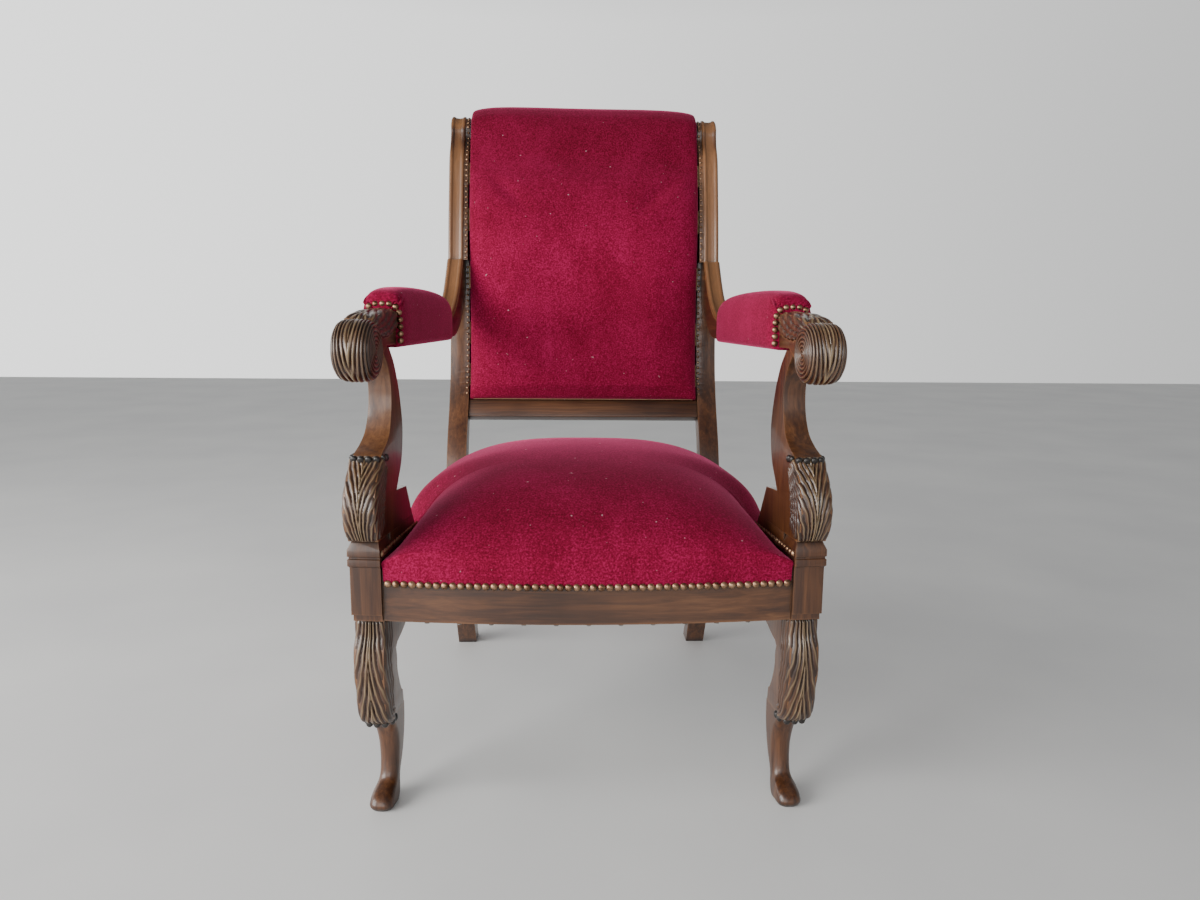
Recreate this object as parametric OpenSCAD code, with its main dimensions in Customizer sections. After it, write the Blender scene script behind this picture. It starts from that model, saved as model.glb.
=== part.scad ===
// Armchair with a carved wooden frame, scrolled arms and a sprung, velvet-covered seat.
// Units are millimetres. +X is the sitter's left, -Y the front, +Z up, and the floor is z = 0.

/* [Seat frame] */
// Width across the two front corner blocks
seat_w = 579; // [520:1:640]
// Width across the two rear posts
back_w = 482; // [430:1:520]
// From the front of the corner blocks to the front of the rear posts
seat_d = 478; // [420:1:540]
// Floor to the underside of the seat rails
leg_h = 267; // [230:1:310]
// Height of the seat rails
rail_h = 64; // [52:1:76]
// Thickness of the seat rails
rail_t = 26; // [22:1:30]
// How far the front rail bows forward
front_bow = 17; // [8:1:26]

/* [Front legs] */
// Width of a front corner block
block_w = 38; // [34:1:44]
// Depth of a front corner block
block_d = 42; // [38:1:48]
// Height of a front corner block
block_h = 101; // [90:1:112]

/* [Rear posts] */
// Width of a rear post
post_w = 34; // [30:1:40]
// Height of the top of the wooden posts
post_h = 992; // [940:1:1060]
// Radius of the rolled top of a post
roll_r = 34; // [28:1:38]

/* [Arms] */
// Height of the underside of the arms
arm_z = 600; // [570:1:640]
// Thickness of the arm under its pad
arm_t = 32; // [28:1:36]
// Width of the arm
arm_w = 34; // [30:1:38]
// Radius of the scroll that ends the arm
scroll_r = 34; // [28:1:38]
// Width of the scroll
scroll_w = 42; // [38:1:48]

/* [Upholstery] */
// Thickness of the velvet cover
cover_t = 2.5; // [1.5:0.5:3.5]
// Height of the seat's crown above the rails
crown_h = 118; // [80:1:130]
// Height of the padding over the arm
pad_h = 42; // [30:1:50]
// Depth of the padding on the back
back_pad = 36; // [20:1:42]
// Diameter of an upholstery nail's head
nail_d = 9.4; // [7:0.2:11]
// Distance between two upholstery nails
nail_pitch = 9.9; // [9.5:0.1:16]
// Diameter of a seat spring's end coils
spring_d = 76; // [60:1:90]

/* [Joints] */
// Thickness of the tenons
tenon_t = 9; // [7:1:10]
// Length of the tenons
tenon_l = 16; // [12:1:18]
// Glue space on each side of a joint
fit = 0.1; // [0.05:0.05:0.3]
// Diameter of the dowels
dowel_d = 9; // [7:1:10]

/* [Hidden] */

wood = "#5a3a24";
beech = "#b08a5c";
velvet = "#8c1236";
brass = "#8a6a3a";
jute = "#b39a6a";
horsehair = "#4a4038";
steel = "#8a8c90";
black_cloth = "#2a2a2a";

leg_x = (seat_w - block_w) / 2;
post_x = (back_w - post_w) / 2;
skew = atan((leg_x - post_x) / seat_d);
rail_top = leg_h + rail_h;
block_top = leg_h + block_h;
rail_set = 3;
rail_out = block_w / 2 - rail_set;
arm_front_x = leg_x - 3.5;
arm_back_x = post_x + 3.5;
scroll_y = -13;
scroll_z = arm_z - 4;
arm_joint_z = arm_z + 133;
arm_skew = atan((arm_front_x - arm_back_x) / (seat_d + 80 - scroll_y));
post_depth = 42;
// The model is built with y = 0 on the front of the corner blocks, then centred.
front_reach = scroll_y - scroll_r;
roll_y = seat_d + 172;
roll_z = post_h - roll_r;
rear_reach = roll_y + roll_r + 5;
mid_y = (front_reach + rear_reach) / 2;

// ---------- curves ----------

function lerp(a, b, t) = a + (b - a) * t;
function clamp(low, v, high) = max(low, min(high, v));
function clamp01(t) = clamp(0, t, 1);
function smooth(t) = let (c = clamp01(t)) c * c * (3 - 2 * c);

// One point of a Catmull-Rom curve between b and c
function curve_point(a, b, c, d, t) =
    0.5 * (2 * b + (c - a) * t + (2 * a - 5 * b + 4 * c - d) * t * t
        + (3 * b - a - 3 * c + d) * t * t * t);

// A smooth line through the points p, with n steps between each pair
function curve(p, n = 4) = let (m = len(p) - 1) concat(
    [for (i = [0:m - 1]) for (k = [0:n - 1])
        curve_point(p[max(0, i - 1)], p[i], p[i + 1], p[min(m, i + 2)], k / n)],
    [p[m]]);

function arc(cy, cz, r, a0, a1, n) = [for (k = [0:n])
    let (a = lerp(a0, a1, k / n)) [cy + r * cos(a), cz + r * sin(a)]];

// ---------- frames ----------

// A side of the chair: 1 is right in the front view, -1 left
module on_side(s) {
    if (s > 0) children();
    else mirror([1, 0, 0]) children();
}

// The line of the front leg and the side rail, with its origin at the front of the leg
module side_line() {
    translate([leg_x, 0, 0]) rotate([0, 0, skew]) children();
}

// The line of the arm, with its origin at the centre of the scroll
module arm_line() {
    translate([arm_front_x, scroll_y, 0]) rotate([0, 0, arm_skew]) children();
}

// Extrudes a (y, z) outline across x, from x0 to x1
module across(x0, x1, points) {
    translate([x0, 0, 0]) rotate([90, 0, 90]) linear_extrude(x1 - x0) polygon(points);
}

// Extrudes an (x, z) outline along y, from y0 to y1
module along(y0, y1, points) {
    translate([0, y1, 0]) rotate([90, 0, 0]) linear_extrude(y1 - y0) polygon(points);
}

function side_x(offset, y) = leg_x + offset / cos(skew) - y * tan(skew);

// ---------- front leg ----------

// Mouldings of the corner block, as [height below its top, overhang]
block_steps = [[33, 0], [31, 2], [23, 2], [22, 0.5], [20, 0.5], [19, 2], [11, 2], [0, -3]];
fillet_h = 8;
fillet_in = 2;

leg_front = [[12, 267], [10, 245], [4, 229], [1, 205], [4, 179], [9, 151], [16, 131], [34, 122], [47, 112],
    [56, 97], [61, 78], [62, 50], [57, 30], [44, 22], [28, 18], [20, 10], [22, 2], [27, 0]];
leg_back = [[54, 0], [62, 6], [74, 20], [84, 38], [91, 61], [94, 87], [92, 115], [84, 142]];
leg_waist = [[78, 146], [67, 163], [58, 184], [57, 200], [54, 213]];
leg_bracket = [[60, 219], [73, 222], [99, 231], [125, 245], [146, 267]];
leg_k = leg_h / 267;

function leg_scaled(p) = [for (q = p) [q[0], q[1] * leg_k]];

function block_edge(face, dir) = [for (s = block_steps) [face + dir * s[1], block_top - s[0]]];
function reversed(p) = [for (i = [len(p) - 1:-1:0]) p[i]];

leg_side_outline = concat(
    [[block_d, leg_h], [block_d, block_top - 10], [block_d - 3, block_top]],
    reversed(block_edge(0, -1)),
    [[0, leg_h + fillet_h], [fillet_in, leg_h + fillet_h], [fillet_in, leg_h]],
    leg_scaled(curve(leg_front)),
    leg_scaled(curve(leg_back)),
    leg_scaled(curve(leg_waist)),
    leg_scaled(curve(leg_bracket)));

leg_half_widths = [[17.5, 262], [18.5, 220], [18, 180], [16.5, 145], [15, 118], [14, 80], [13.5, 45],
    [15, 22], [16.5, 12], [15, 0]];
leg_inner_line = leg_scaled(curve([for (q = leg_half_widths) [-q[0], q[1]]], 3));

leg_front_outline = concat(
    [[-block_w / 2, leg_h], [-block_w / 2, block_top - 10], [-block_w / 2 + 3, block_top]],
    reversed(block_edge(block_w / 2, 1)),
    [[block_w / 2, leg_h + fillet_h], [block_w / 2 - fillet_in, leg_h + fillet_h],
        [block_w / 2 - fillet_in, leg_h]],
    leg_scaled(curve([for (q = leg_half_widths) [q[0], q[1]]], 3)),
    reversed(leg_inner_line));

support_tenon = [12, 20, 22];

module block_space(extra = 0) {
    translate([-block_w / 2 - extra, -3, leg_h - 5])
        cube([block_w + 2 * extra, block_d + 3 + extra, block_h + 10]);
}

module front_leg(s) color(wood) difference() {
    on_side(s) side_line() difference() {
        intersection() {
            across(-30, 30, leg_side_outline);
            along(-10, 160, leg_front_outline);
        }
        translate([0, block_d / 2, block_top - support_tenon[2] - 1])
            translate([-support_tenon[0] / 2 - fit, -support_tenon[1] / 2 - fit, 0])
            cube([support_tenon[0] + 2 * fit, support_tenon[1] + 2 * fit, support_tenon[2] + 2]);
        side_tenon(0, fit);
        corner_screw_holes(front = true);
        plinth_nail_holes();
    }
    front_tenon(s, fit);
}

// ---------- rear post ----------

// Front line of a post: the leg, the lower back, and the rolled upper back
post_leg_front = [[seat_d + 126, 0], [seat_d + 92, 60 * leg_k], [seat_d + 54, 130 * leg_k],
    [seat_d + 18, 210 * leg_k], [seat_d, leg_h]];
post_leg_back = [[seat_d + 44, leg_h], [seat_d + 60, 210 * leg_k], [seat_d + 94, 130 * leg_k],
    [seat_d + 132, 60 * leg_k], [seat_d + 166, 0]];
low_back = arm_joint_z - rail_top;
function low_z(f) = rail_top + f * low_back;
post_low_front = [[seat_d, rail_top], [seat_d + 5, low_z(0.1)], [seat_d + 18, low_z(0.19)],
    [seat_d + 36, low_z(0.275)], [seat_d + 55, low_z(0.36)], [seat_d + 71, low_z(0.45)],
    [seat_d + 82, low_z(0.55)],
    [seat_d + 90, low_z(0.68)], [seat_d + 95, low_z(0.84)], [seat_d + 98, arm_joint_z]];
post_low_back = [[seat_d + post_depth, rail_top], [seat_d + 45, low_z(0.1)], [seat_d + 56, low_z(0.19)],
    [seat_d + 73, low_z(0.275)], [seat_d + 92, low_z(0.36)], [seat_d + 108, low_z(0.45)],
    [seat_d + 119, low_z(0.55)], [seat_d + 126, low_z(0.68)], [seat_d + 129, low_z(0.84)],
    [seat_d + 131, arm_joint_z]];
high_back = roll_z - arm_joint_z;
function high_z(f) = arm_joint_z + f * high_back;
post_high_front = [[seat_d + 75, arm_joint_z], [seat_d + 88, high_z(0.32)], [seat_d + 101, high_z(0.56)],
    [seat_d + 117, high_z(0.82)], [roll_y - roll_r * cos(40) * 1.2, high_z(0.96)],
    [roll_y + roll_r * cos(155), roll_z + roll_r * sin(155)]];
post_high_back = [[seat_d + 131, arm_joint_z], [seat_d + 134, high_z(0.32)], [seat_d + 141, high_z(0.56)],
    [seat_d + 151, high_z(0.74)], [roll_y + roll_r * cos(-110), roll_z + roll_r * sin(-110)]];

post_outline = concat(
    curve(post_leg_front, 5), curve(post_low_front), curve(post_high_front, 5),
    arc(roll_y, roll_z, roll_r, 148, -104, 28),
    reversed(curve(post_high_back, 5)), reversed(curve(post_low_back)), curve(post_leg_back, 5));

module rear_post(s) color(wood) difference() {
    on_side(s) difference() {
        across(post_x - post_w / 2, post_x + post_w / 2, post_outline);
        side_line() side_tenon(1, fit);
        rear_tenon(fit);
        back_rail_tenon(low_rail, fit);
        back_rail_tenon(top_rail, fit);
        arm_dowel_pair(fit);
        side_line() corner_screw_holes(front = false);
        back_nail_holes();
    }
}

// ---------- seat rails ----------

front_half = leg_x - block_w / 2;
bow_r = (front_half * front_half + front_bow * front_bow) / (2 * front_bow);
function bow_y(x) = rail_set - front_bow + bow_r - sqrt(bow_r * bow_r - x * x);

module front_tenon(s, gap) {
    on_side(s) translate([front_half - 8, rail_set + 8 - gap, leg_h + 10 - gap])
        cube([8 + tenon_l + 2 + gap, tenon_t + 2 * gap, rail_h - 20 + 2 * gap]);
}

module front_seat_rail() color(wood) {
    steps = 28;
    difference() {
        linear_extrude(rail_top - leg_h) polygon(concat(
            [for (k = [0:steps]) let (x = lerp(-leg_x, leg_x, k / steps)) [x, bow_y(x)]],
            [for (k = [steps:-1:0]) let (x = lerp(-leg_x, leg_x, k / steps)) [x, bow_y(x) + rail_t]]));
        for (s = [-1, 1]) on_side(s) translate([0, 0, -leg_h]) side_line() block_space(fit);
        translate([0, 0, -leg_h]) front_nail_holes();
    }
    for (s = [-1, 1]) translate([0, 0, -leg_h]) front_tenon(s, 0);
}

// The side rail's tenons lie along the rail: end 0 is in the front leg, end 1 in the rear post
module side_tenon(end, gap) {
    y0 = end == 0 ? block_d - tenon_l - gap : seat_d / cos(skew) - 12;
    y1 = end == 0 ? block_d + 8 : seat_d / cos(skew) + tenon_l - 2 + gap;
    translate([rail_out - rail_t / 2 - tenon_t / 2 - gap, y0, leg_h + 10 - gap])
        cube([tenon_t + 2 * gap, y1 - y0, rail_h - 20 + 2 * gap]);
}

module side_rail_body() {
    difference() {
        side_line() translate([rail_out - rail_t, block_d + fit, leg_h]) cube([rail_t, seat_d, rail_h]);
        translate([0, seat_d - fit, leg_h - 5]) cube([seat_w, seat_d, rail_h + 10]);
    }
}

module side_seat_rail(s) color(wood) on_side(s) difference() {
    union() {
        side_rail_body();
        side_line() side_tenon(0, 0);
        side_line() side_tenon(1, 0);
    }
    side_line() support_dowel(fit);
    side_line() corner_screw_holes(front = false);
    side_nail_holes();
}

rear_rail_y = seat_d + 14;
rear_rail_t = 22;
rear_half = post_x - post_w / 2;

module rear_tenon(gap) {
    translate([rear_half - 8, rear_rail_y + 8 - gap, leg_h + 12 - gap])
        cube([8 + tenon_l - 1 + gap, 8 + 2 * gap, rail_h - 24 + 2 * gap]);
}

module rear_seat_rail() color(beech) {
    translate([-rear_half + fit, rear_rail_y, leg_h]) cube([2 * (rear_half - fit), rear_rail_t, rail_h]);
    for (s = [-1, 1]) on_side(s) rear_tenon(0);
}

// ---------- back rails ----------

// A back rail as [y, z, lean, height, thickness]
low_rail = [seat_d + 66, low_z(0.337), 27, 32, 22];
top_rail = [roll_y - 14, roll_z - 22, 45, 42, 18];

module back_rail_bar(r, x0, x1, height, thickness) {
    translate([x0, r[0], r[1]]) rotate([-r[2], 0, 0])
        translate([0, -thickness / 2, -height / 2]) cube([x1 - x0, thickness, height]);
}

module back_rail_tenon(r, gap) {
    back_rail_bar(r, rear_half - 8, rear_half + tenon_l + gap, r[3] - 12 + 2 * gap, tenon_t + 2 * gap);
}

module back_rail(r) {
    back_rail_bar(r, -rear_half + fit, rear_half - fit, r[3], r[4]);
    for (s = [-1, 1]) on_side(s) back_rail_tenon(r, 0);
}

// ---------- corner blocks ----------

brace_h = 40;
brace_z = leg_h + 10;
screw_d = 4.2;
screw_l = 34;
front_brace = 46;
rear_brace = 44;

// Middle of the long face of a corner block, and the angle that its screws point to
function brace_face(front) = front ? [-block_w / 2 - 22, block_d + 22, 45]
    : [rail_out - rail_t - 26, seat_d - 22, 135];

module brace_screws(front, d, l) {
    f = brace_face(front);
    for (z = [12, brace_h - 12])
        translate([f[0], f[1], brace_z + z]) rotate([0, 0, front ? -45 : 45])
            rotate([0, 90, 0]) translate([0, 0, -0.5]) cylinder(d = d, h = l, $fn = 24);
}

module screw_heads(front) {
    f = brace_face(front);
    for (z = [12, brace_h - 12])
        translate([f[0], f[1], brace_z + z]) rotate([0, 0, front ? -45 : 45])
            rotate([0, 90, 0]) translate([0, 0, -20]) cylinder(d = 8.4, h = 21.2, $fn = 24);
}

module corner_screw_holes(front) {
    brace_screws(front, screw_d - 0.2 + 2 * fit, screw_l + 12);
}

module corner_block(s, front) color(beech) on_side(s) difference() {
    side_line() translate([0, 0, brace_z]) linear_extrude(brace_h) polygon(front
        ? [[rail_out - rail_t - 72, rail_set + 18], [rail_out - rail_t, rail_set + 18],
            [rail_out - rail_t, block_d + 50], [rail_out - rail_t - 10, block_d + 50]]
        : [[rail_out - rail_t, seat_d - 66], [rail_out - rail_t, seat_d + 30],
            [rail_out - rail_t - 72, seat_d + 30], [rail_out - rail_t - 72, seat_d - 2]]);
    side_line() translate([rail_out - rail_t - fit, -10, 0]) cube([rail_t + 20, seat_d + 40, post_h]);
    side_line() block_space(fit);
    if (front) {
        translate([0, 0, brace_z - 5]) linear_extrude(brace_h + 10) polygon(concat(
            [for (k = [0:14]) let (x = lerp(0, leg_x, k / 14)) [x, bow_y(x) + rail_t + fit]],
            [[leg_x, -60], [0, -60]]));
        front_tenon(1, 1);
    } else {
        translate([post_x - post_w / 2 - fit, seat_d - fit, 0]) cube([post_w * 2, 100, post_h]);
        translate([0, rear_rail_y - fit, 0]) cube([seat_w, 100, post_h]);
    }
    side_line() brace_screws(front, screw_d + 0.4, screw_l + 12);
    side_line() screw_heads(front);
}

module corner_block_screws() color(steel) {
    for (s = [-1, 1]) for (front = [true, false]) on_side(s) side_line() {
        f = brace_face(front);
        for (z = [12, brace_h - 12])
            translate([f[0], f[1], brace_z + z]) rotate([0, 0, front ? -45 : 45]) rotate([0, 90, 0]) {
                translate([0, 0, 1]) cylinder(d = screw_d - 0.2, h = screw_l, $fn = 24);
                translate([0, 0, -1.2]) cylinder(d = 8, h = 2.2, $fn = 24);
            }
    }
}

// ---------- arm support ----------

sup_k = (arm_z - 3 - block_top) / 229;
function sup_scaled(p) = [for (q = p) [q[0], block_top + (q[1] - 368) * sup_k]];
// Front line of the support, from the block up to the arm, with the carved leaf on its lower part
sup_front = [[-2, 368], [-11, 384], [-15, 400], [-14, 416], [-7, 434], [7, 453], [22, 469], [42, 478],
    [61, 491], [73, 514], [77, 535], [75, 556], [64, 576], [50, 590], [43, 597]];
sup_back = [[72, 597], [79, 590], [92, 576], [105, 553], [114, 526], [118, 498], [112, 474], [99, 449],
    [84, 430], [74, 416]];
plinth_top_y = 116;
plinth_end_y = 170;

support_outline = concat(
    [[block_d + fit, rail_top + fit], [block_d + fit, block_top + fit], [0, block_top + fit]],
    sup_scaled(curve(sup_front)), sup_scaled(curve(sup_back)),
    sup_scaled([[78, 416], [plinth_top_y, 413]]),
    [[plinth_end_y - 18, rail_top + 21], [plinth_end_y - 8, rail_top + fit]]);

sup_half = [[18.5, 368], [19, 416], [18.5, 450], [16.5, 480], [15, 510], [14.5, 560], [15, 597]];
support_front_outline = concat(
    [[-block_w / 2, rail_top + fit], [-block_w / 2, block_top]],
    sup_scaled(curve([for (q = sup_half) [-q[0], q[1]]], 3)),
    sup_scaled(reversed(curve([for (q = sup_half) [q[0], q[1]]], 3))),
    [[block_w / 2 - 1, block_top], [block_w / 2 - 1, rail_top + fit]]);

arm_tenon_y = 58;
arm_tenon_d = 15;
arm_tenon_h = 20;

module support_dowel(gap) {
    translate([rail_out - rail_t / 2, block_d + 66, rail_top - 20 - gap])
        cylinder(d = dowel_d + 2 * gap, h = 40 + 2 * gap, $fn = 32);
}

module arm_support(s) color(wood) on_side(s) side_line() difference() {
    union() {
        intersection() {
            across(-30, 30, support_outline);
            along(-30, 200, support_front_outline);
        }
        translate([-support_tenon[0] / 2, block_d / 2 - support_tenon[1] / 2, block_top - support_tenon[2]])
            cube([support_tenon[0], support_tenon[1], support_tenon[2] + 10]);
        translate([0, arm_tenon_y, arm_z - 13]) cylinder(d = arm_tenon_d, h = 10 + arm_tenon_h, $fn = 36);
    }
    support_dowel(fit);
    plinth_nail_holes();
}

module support_dowels() color(beech) for (s = [-1, 1]) on_side(s) side_line() support_dowel(0);

// ---------- arm ----------

// Outline of the arm in its own line, where y = 0 is the centre of the scroll
arm_rear = seat_d + 92 - scroll_y;
pad_y0 = 104;
pad_y1 = arm_rear - 157;
sweep_top = [[arm_rear - 164, arm_z + arm_t], [arm_rear - 122, arm_z + arm_t + 2],
    [arm_rear - 88, arm_z + 50], [arm_rear - 62, arm_z + 72], [arm_rear - 42, arm_z + 98],
    [arm_rear - 28, arm_z + 120],
    [arm_rear - 20, arm_joint_z - fit]];
sweep_low = [[arm_rear + 14, arm_joint_z - fit], [arm_rear + 14, arm_z + 106], [arm_rear - 2, arm_z + 76],
    [arm_rear - 26, arm_z + 44], [arm_rear - 58, arm_z + 18], [arm_rear - 98, arm_z + 3],
    [arm_rear - 140, arm_z]];
neck_top = [[0, scroll_z + scroll_r], [20, arm_z + 35], [55, arm_z + 40], [pad_y0, arm_z + 42]];

arm_outline = concat(
    curve(neck_top),
    [[pad_y0 + 4, arm_z + 42], [pad_y0 + 5, arm_z + arm_t]],
    curve(sweep_top), [sweep_low[0]], curve([for (i = [1:6]) sweep_low[i]]),
    [[62, arm_z], [56, arm_z - 3], [50, arm_z - 6], [36, arm_z - 14], [20, arm_z - 24], [0, scroll_z]]);

module arm_dowel_pair(gap) {
    for (z = [-36, -16]) translate([arm_back_x, seat_d + 76, arm_joint_z + z])
        rotate([-90, 0, 0]) translate([0, 0, -gap])
        cylinder(d = dowel_d - 1 + 2 * gap, h = 40 + 2 * gap, $fn = 28);
}

module arm_rail(s) color(wood) on_side(s) difference() {
    arm_line() {
        intersection() {
            across(-arm_w / 2, arm_w / 2, arm_outline);
            translate([0, 0, arm_z - 60]) linear_extrude(400) polygon([
                [-arm_w / 2, -60], [arm_w / 2, -60], [arm_w / 2, 300], [arm_w / 2 - 3, arm_rear - 60],
                [arm_w / 2 - 3, arm_rear + 40], [-arm_w / 2 + 3, arm_rear + 40],
                [-arm_w / 2 + 3, arm_rear - 60], [-arm_w / 2, 300]]);
        }
        translate([-scroll_w / 2, 0, scroll_z]) rotate([0, 90, 0])
            cylinder(r = scroll_r, h = scroll_w, $fn = 72);
    }
    side_line() translate([0, arm_tenon_y, arm_z - 20])
        cylinder(d = arm_tenon_d + 2 * fit, h = 17 + arm_tenon_h + 1, $fn = 36);
    for (d = [[0, fit], [-fit, 0], [fit, 0]])
        side_line() across(-40, 40, [for (q = support_outline) q + d]);
    across(post_x - post_w, post_x + post_w, [for (q = post_outline) [q[0] - fit, q[1]]]);
    arm_dowel_pair(fit);
}

module arm_dowels() color(beech) for (s = [-1, 1]) on_side(s) arm_dowel_pair(0);

// ---------- sheets and pads ----------

// A closed solid between two grids of points, the second under the first
module slab(top, under) {
    n = len(top);
    m = len(top[0]);
    points = concat([for (r = top) for (p = r) p], [for (r = under) for (p = r) p]);
    b = n * m;
    polyhedron(points, concat(
        [for (i = [0:n - 2]) for (j = [0:m - 2]) let (a = i * m + j) [a, a + m, a + m + 1]],
        [for (i = [0:n - 2]) for (j = [0:m - 2]) let (a = i * m + j) [a, a + m + 1, a + 1]],
        [for (i = [0:n - 2]) for (j = [0:m - 2]) let (a = b + i * m + j) [a, a + m + 1, a + m]],
        [for (i = [0:n - 2]) for (j = [0:m - 2]) let (a = b + i * m + j) [a, a + 1, a + m + 1]],
        [for (j = [0:m - 2]) [j, j + 1, b + j + 1]], [for (j = [0:m - 2]) [j, b + j + 1, b + j]],
        [for (j = [0:m - 2]) let (a = (n - 1) * m + j) [a, b + a, b + a + 1]],
        [for (j = [0:m - 2]) let (a = (n - 1) * m + j) [a, b + a + 1, a + 1]],
        [for (i = [0:n - 2]) let (a = i * m) [a, b + a, b + a + m]],
        [for (i = [0:n - 2]) let (a = i * m) [a, b + a + m, a + m]],
        [for (i = [0:n - 2]) let (a = i * m + m - 1) [a, a + m, b + a + m]],
        [for (i = [0:n - 2]) let (a = i * m + m - 1) [a, b + a + m, b + a]]));
}

// A closed sleeve between two lists of rings, the second inside the first
module sleeve(outer, inner) {
    n = len(outer);
    m = len(outer[0]);
    b = n * m;
    function at(i, j) = i * m + j % m;
    polyhedron(concat([for (r = outer) for (p = r) p], [for (r = inner) for (p = r) p]), concat(
        [for (i = [0:n - 2]) for (j = [0:m - 1]) [at(i, j), at(i, j + 1), at(i + 1, j + 1)]],
        [for (i = [0:n - 2]) for (j = [0:m - 1]) [at(i, j), at(i + 1, j + 1), at(i + 1, j)]],
        [for (i = [0:n - 2]) for (j = [0:m - 1]) [b + at(i, j), b + at(i + 1, j + 1), b + at(i, j + 1)]],
        [for (i = [0:n - 2]) for (j = [0:m - 1]) [b + at(i, j), b + at(i + 1, j), b + at(i + 1, j + 1)]],
        [for (j = [0:m - 1]) [at(0, j), b + at(0, j + 1), at(0, j + 1)]],
        [for (j = [0:m - 1]) [at(0, j), b + at(0, j), b + at(0, j + 1)]],
        [for (j = [0:m - 1]) [at(n - 1, j), at(n - 1, j + 1), b + at(n - 1, j + 1)]],
        [for (j = [0:m - 1]) [at(n - 1, j), b + at(n - 1, j + 1), b + at(n - 1, j)]]));
}

// ---------- seat ----------

seat_edge = 13;
dome_mid = 0.565 * seat_d;
// Flat edge of the seat, where its nails lie
gutter = 8;
function bump(a, p, q) = pow(max(0, 1 - pow(min(1, abs(a)), p)), q);
// The dome is as wide as the gap between the arm supports, and behind them as wide as the seat frame
function dome_half(y) = lerp(side_x(-block_w / 2 - 0.4, y), side_x(rail_out + cover_t + 0.3, y),
    smooth((y - plinth_end_y + 14) / 70)) - gutter;
function dome(x, y) = bump(x / dome_half(y), 3, 0.6)
    * bump((y - dome_mid) / (y < dome_mid ? dome_mid + front_bow : seat_d + 40 - dome_mid), 2.4, 0.75);
function seat_z(x, y, inset = 0) = rail_top + seat_edge - inset + (crown_h - seat_edge) * dome(x, y);
function spring_z(x, y) = rail_top + 0.3 + (crown_h * 0.53) * dome(x, y);

seat_rear = rear_rail_y + rear_rail_t + cover_t + 0.3;
// The cover widens over the side rails behind the arm supports, and narrows in front of the rear posts
widen = [plinth_end_y - 5, plinth_end_y + 1];
narrow = [seat_d - 12, seat_d - 6];
function seat_half(y, inset) =
    lerp(lerp(side_x(-block_w / 2 - 0.4, y), side_x(rail_out + cover_t + 0.3, y),
        clamp01((y - inset - widen[0]) / (widen[1] - widen[0]))),
        rear_half - 0.4, clamp01((y + inset - narrow[0]) / (narrow[1] - narrow[0]))) - inset;
// Height of the cover's lower edge: beside the arm supports, on the side rails, and between the rear posts
function skirt_z(y) = rail_top + (y < widen[1] + 3 || y > narrow[0] - 4 ? 4 : -24);
front_skirt = rail_top - 15;

seat_rows = [0, 4, 10, 20, 34, 54, 80, 112, 140, widen[0] - 1, widen[0] + 2.5, widen[1] - 1, widen[1] + 2.6,
    widen[1] + 4, 205, 245, 285, 325, 365, 400, 430, narrow[0] - 6, narrow[0] - 3, narrow[0] + 1.5,
    narrow[1] - 1.5, narrow[1] + 1, rear_rail_y + 2, seat_rear - 12, seat_rear];
seat_cols = concat([-1.001], [for (k = [-10:10]) sin(k * 9) * 0.55 + (k / 10) * 0.45], [1.001]);
seat_m = len(seat_cols) - 1;

function seat_front_edge(x, inset) = bow_y(x) - cover_t - 0.3 + inset;
// A point of the seat's plan: r is the row's distance from the front edge
function seat_xy(u, r, inset) = let (x = u * seat_half(r, inset), k = 1 - clamp01(r / 90))
    [x, min(r, seat_rear - inset) + k * seat_front_edge(x, inset)];
function seat_point(k, r, inset) = let (p = seat_xy(seat_cols[k], r, inset), z = seat_z(p[0], p[1], inset))
    [p[0], p[1], k == 0 || k == seat_m ? skirt_z(r) : z];

function seat_grid(inset) = concat(
    [[for (u = seat_cols) let (p = seat_xy(u, 0, inset)) [p[0], p[1], front_skirt]]],
    [for (r = seat_rows) [for (k = [0:seat_m]) seat_point(k, r, inset)]],
    [[for (u = seat_cols) [u * (rear_half - 0.4 - inset), seat_rear - inset, rail_top - 24]]]);

module seat_cover() color(velvet) slab(seat_grid(0), seat_grid(cover_t));

// The layers under the cover: each surface is a height over the same plan
function layer(z_of) = [for (r = seat_rows) [for (u = [for (k = [1:seat_m - 1]) seat_cols[k]])
    let (p = seat_xy(u, max(r, 1), cover_t + 4), q = seat_xy(u, r, cover_t)) [p[0], p[1],
        z_of == 0 ? seat_z(q[0], q[1], cover_t + 0.5)
            : spring_z(p[0], p[1]) + (z_of == 1 ? 1.8 : z_of == 2 ? 1.5 : 0)]]];
module seat_stuffing() color(horsehair) slab(layer(0), layer(1));
module spring_cover() color(jute) slab(layer(2), layer(3));

// ---------- webbing ----------

strap_w = 50;
strap_t = 1.8;
web_z = leg_h - 2.2;
bracket_end = 152;
web_across = [for (k = [0:3]) bracket_end + 30 + k * (seat_d - bracket_end - 60) / 3];
web_along = [for (k = [-2:2]) k * 84];

// A strap's band: ends on the rails, and passes over and under the straps that it crosses
function band(ends, crossings, first) = let (
    line = concat([[ends[0], 1]],
        [for (i = [0:len(crossings) - 1]) for (e = [-1, 1])
            [crossings[i] + e * (strap_w / 2 + 2), (first + i) % 2 == 0 ? 1 : -1]],
        [[ends[1], 1]]))
    concat([for (p = line) [p[0], web_z + p[1] - strap_t / 2]],
        [for (i = [len(line) - 1:-1:0]) [line[i][0], web_z + line[i][1] + strap_t / 2]]);

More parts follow.
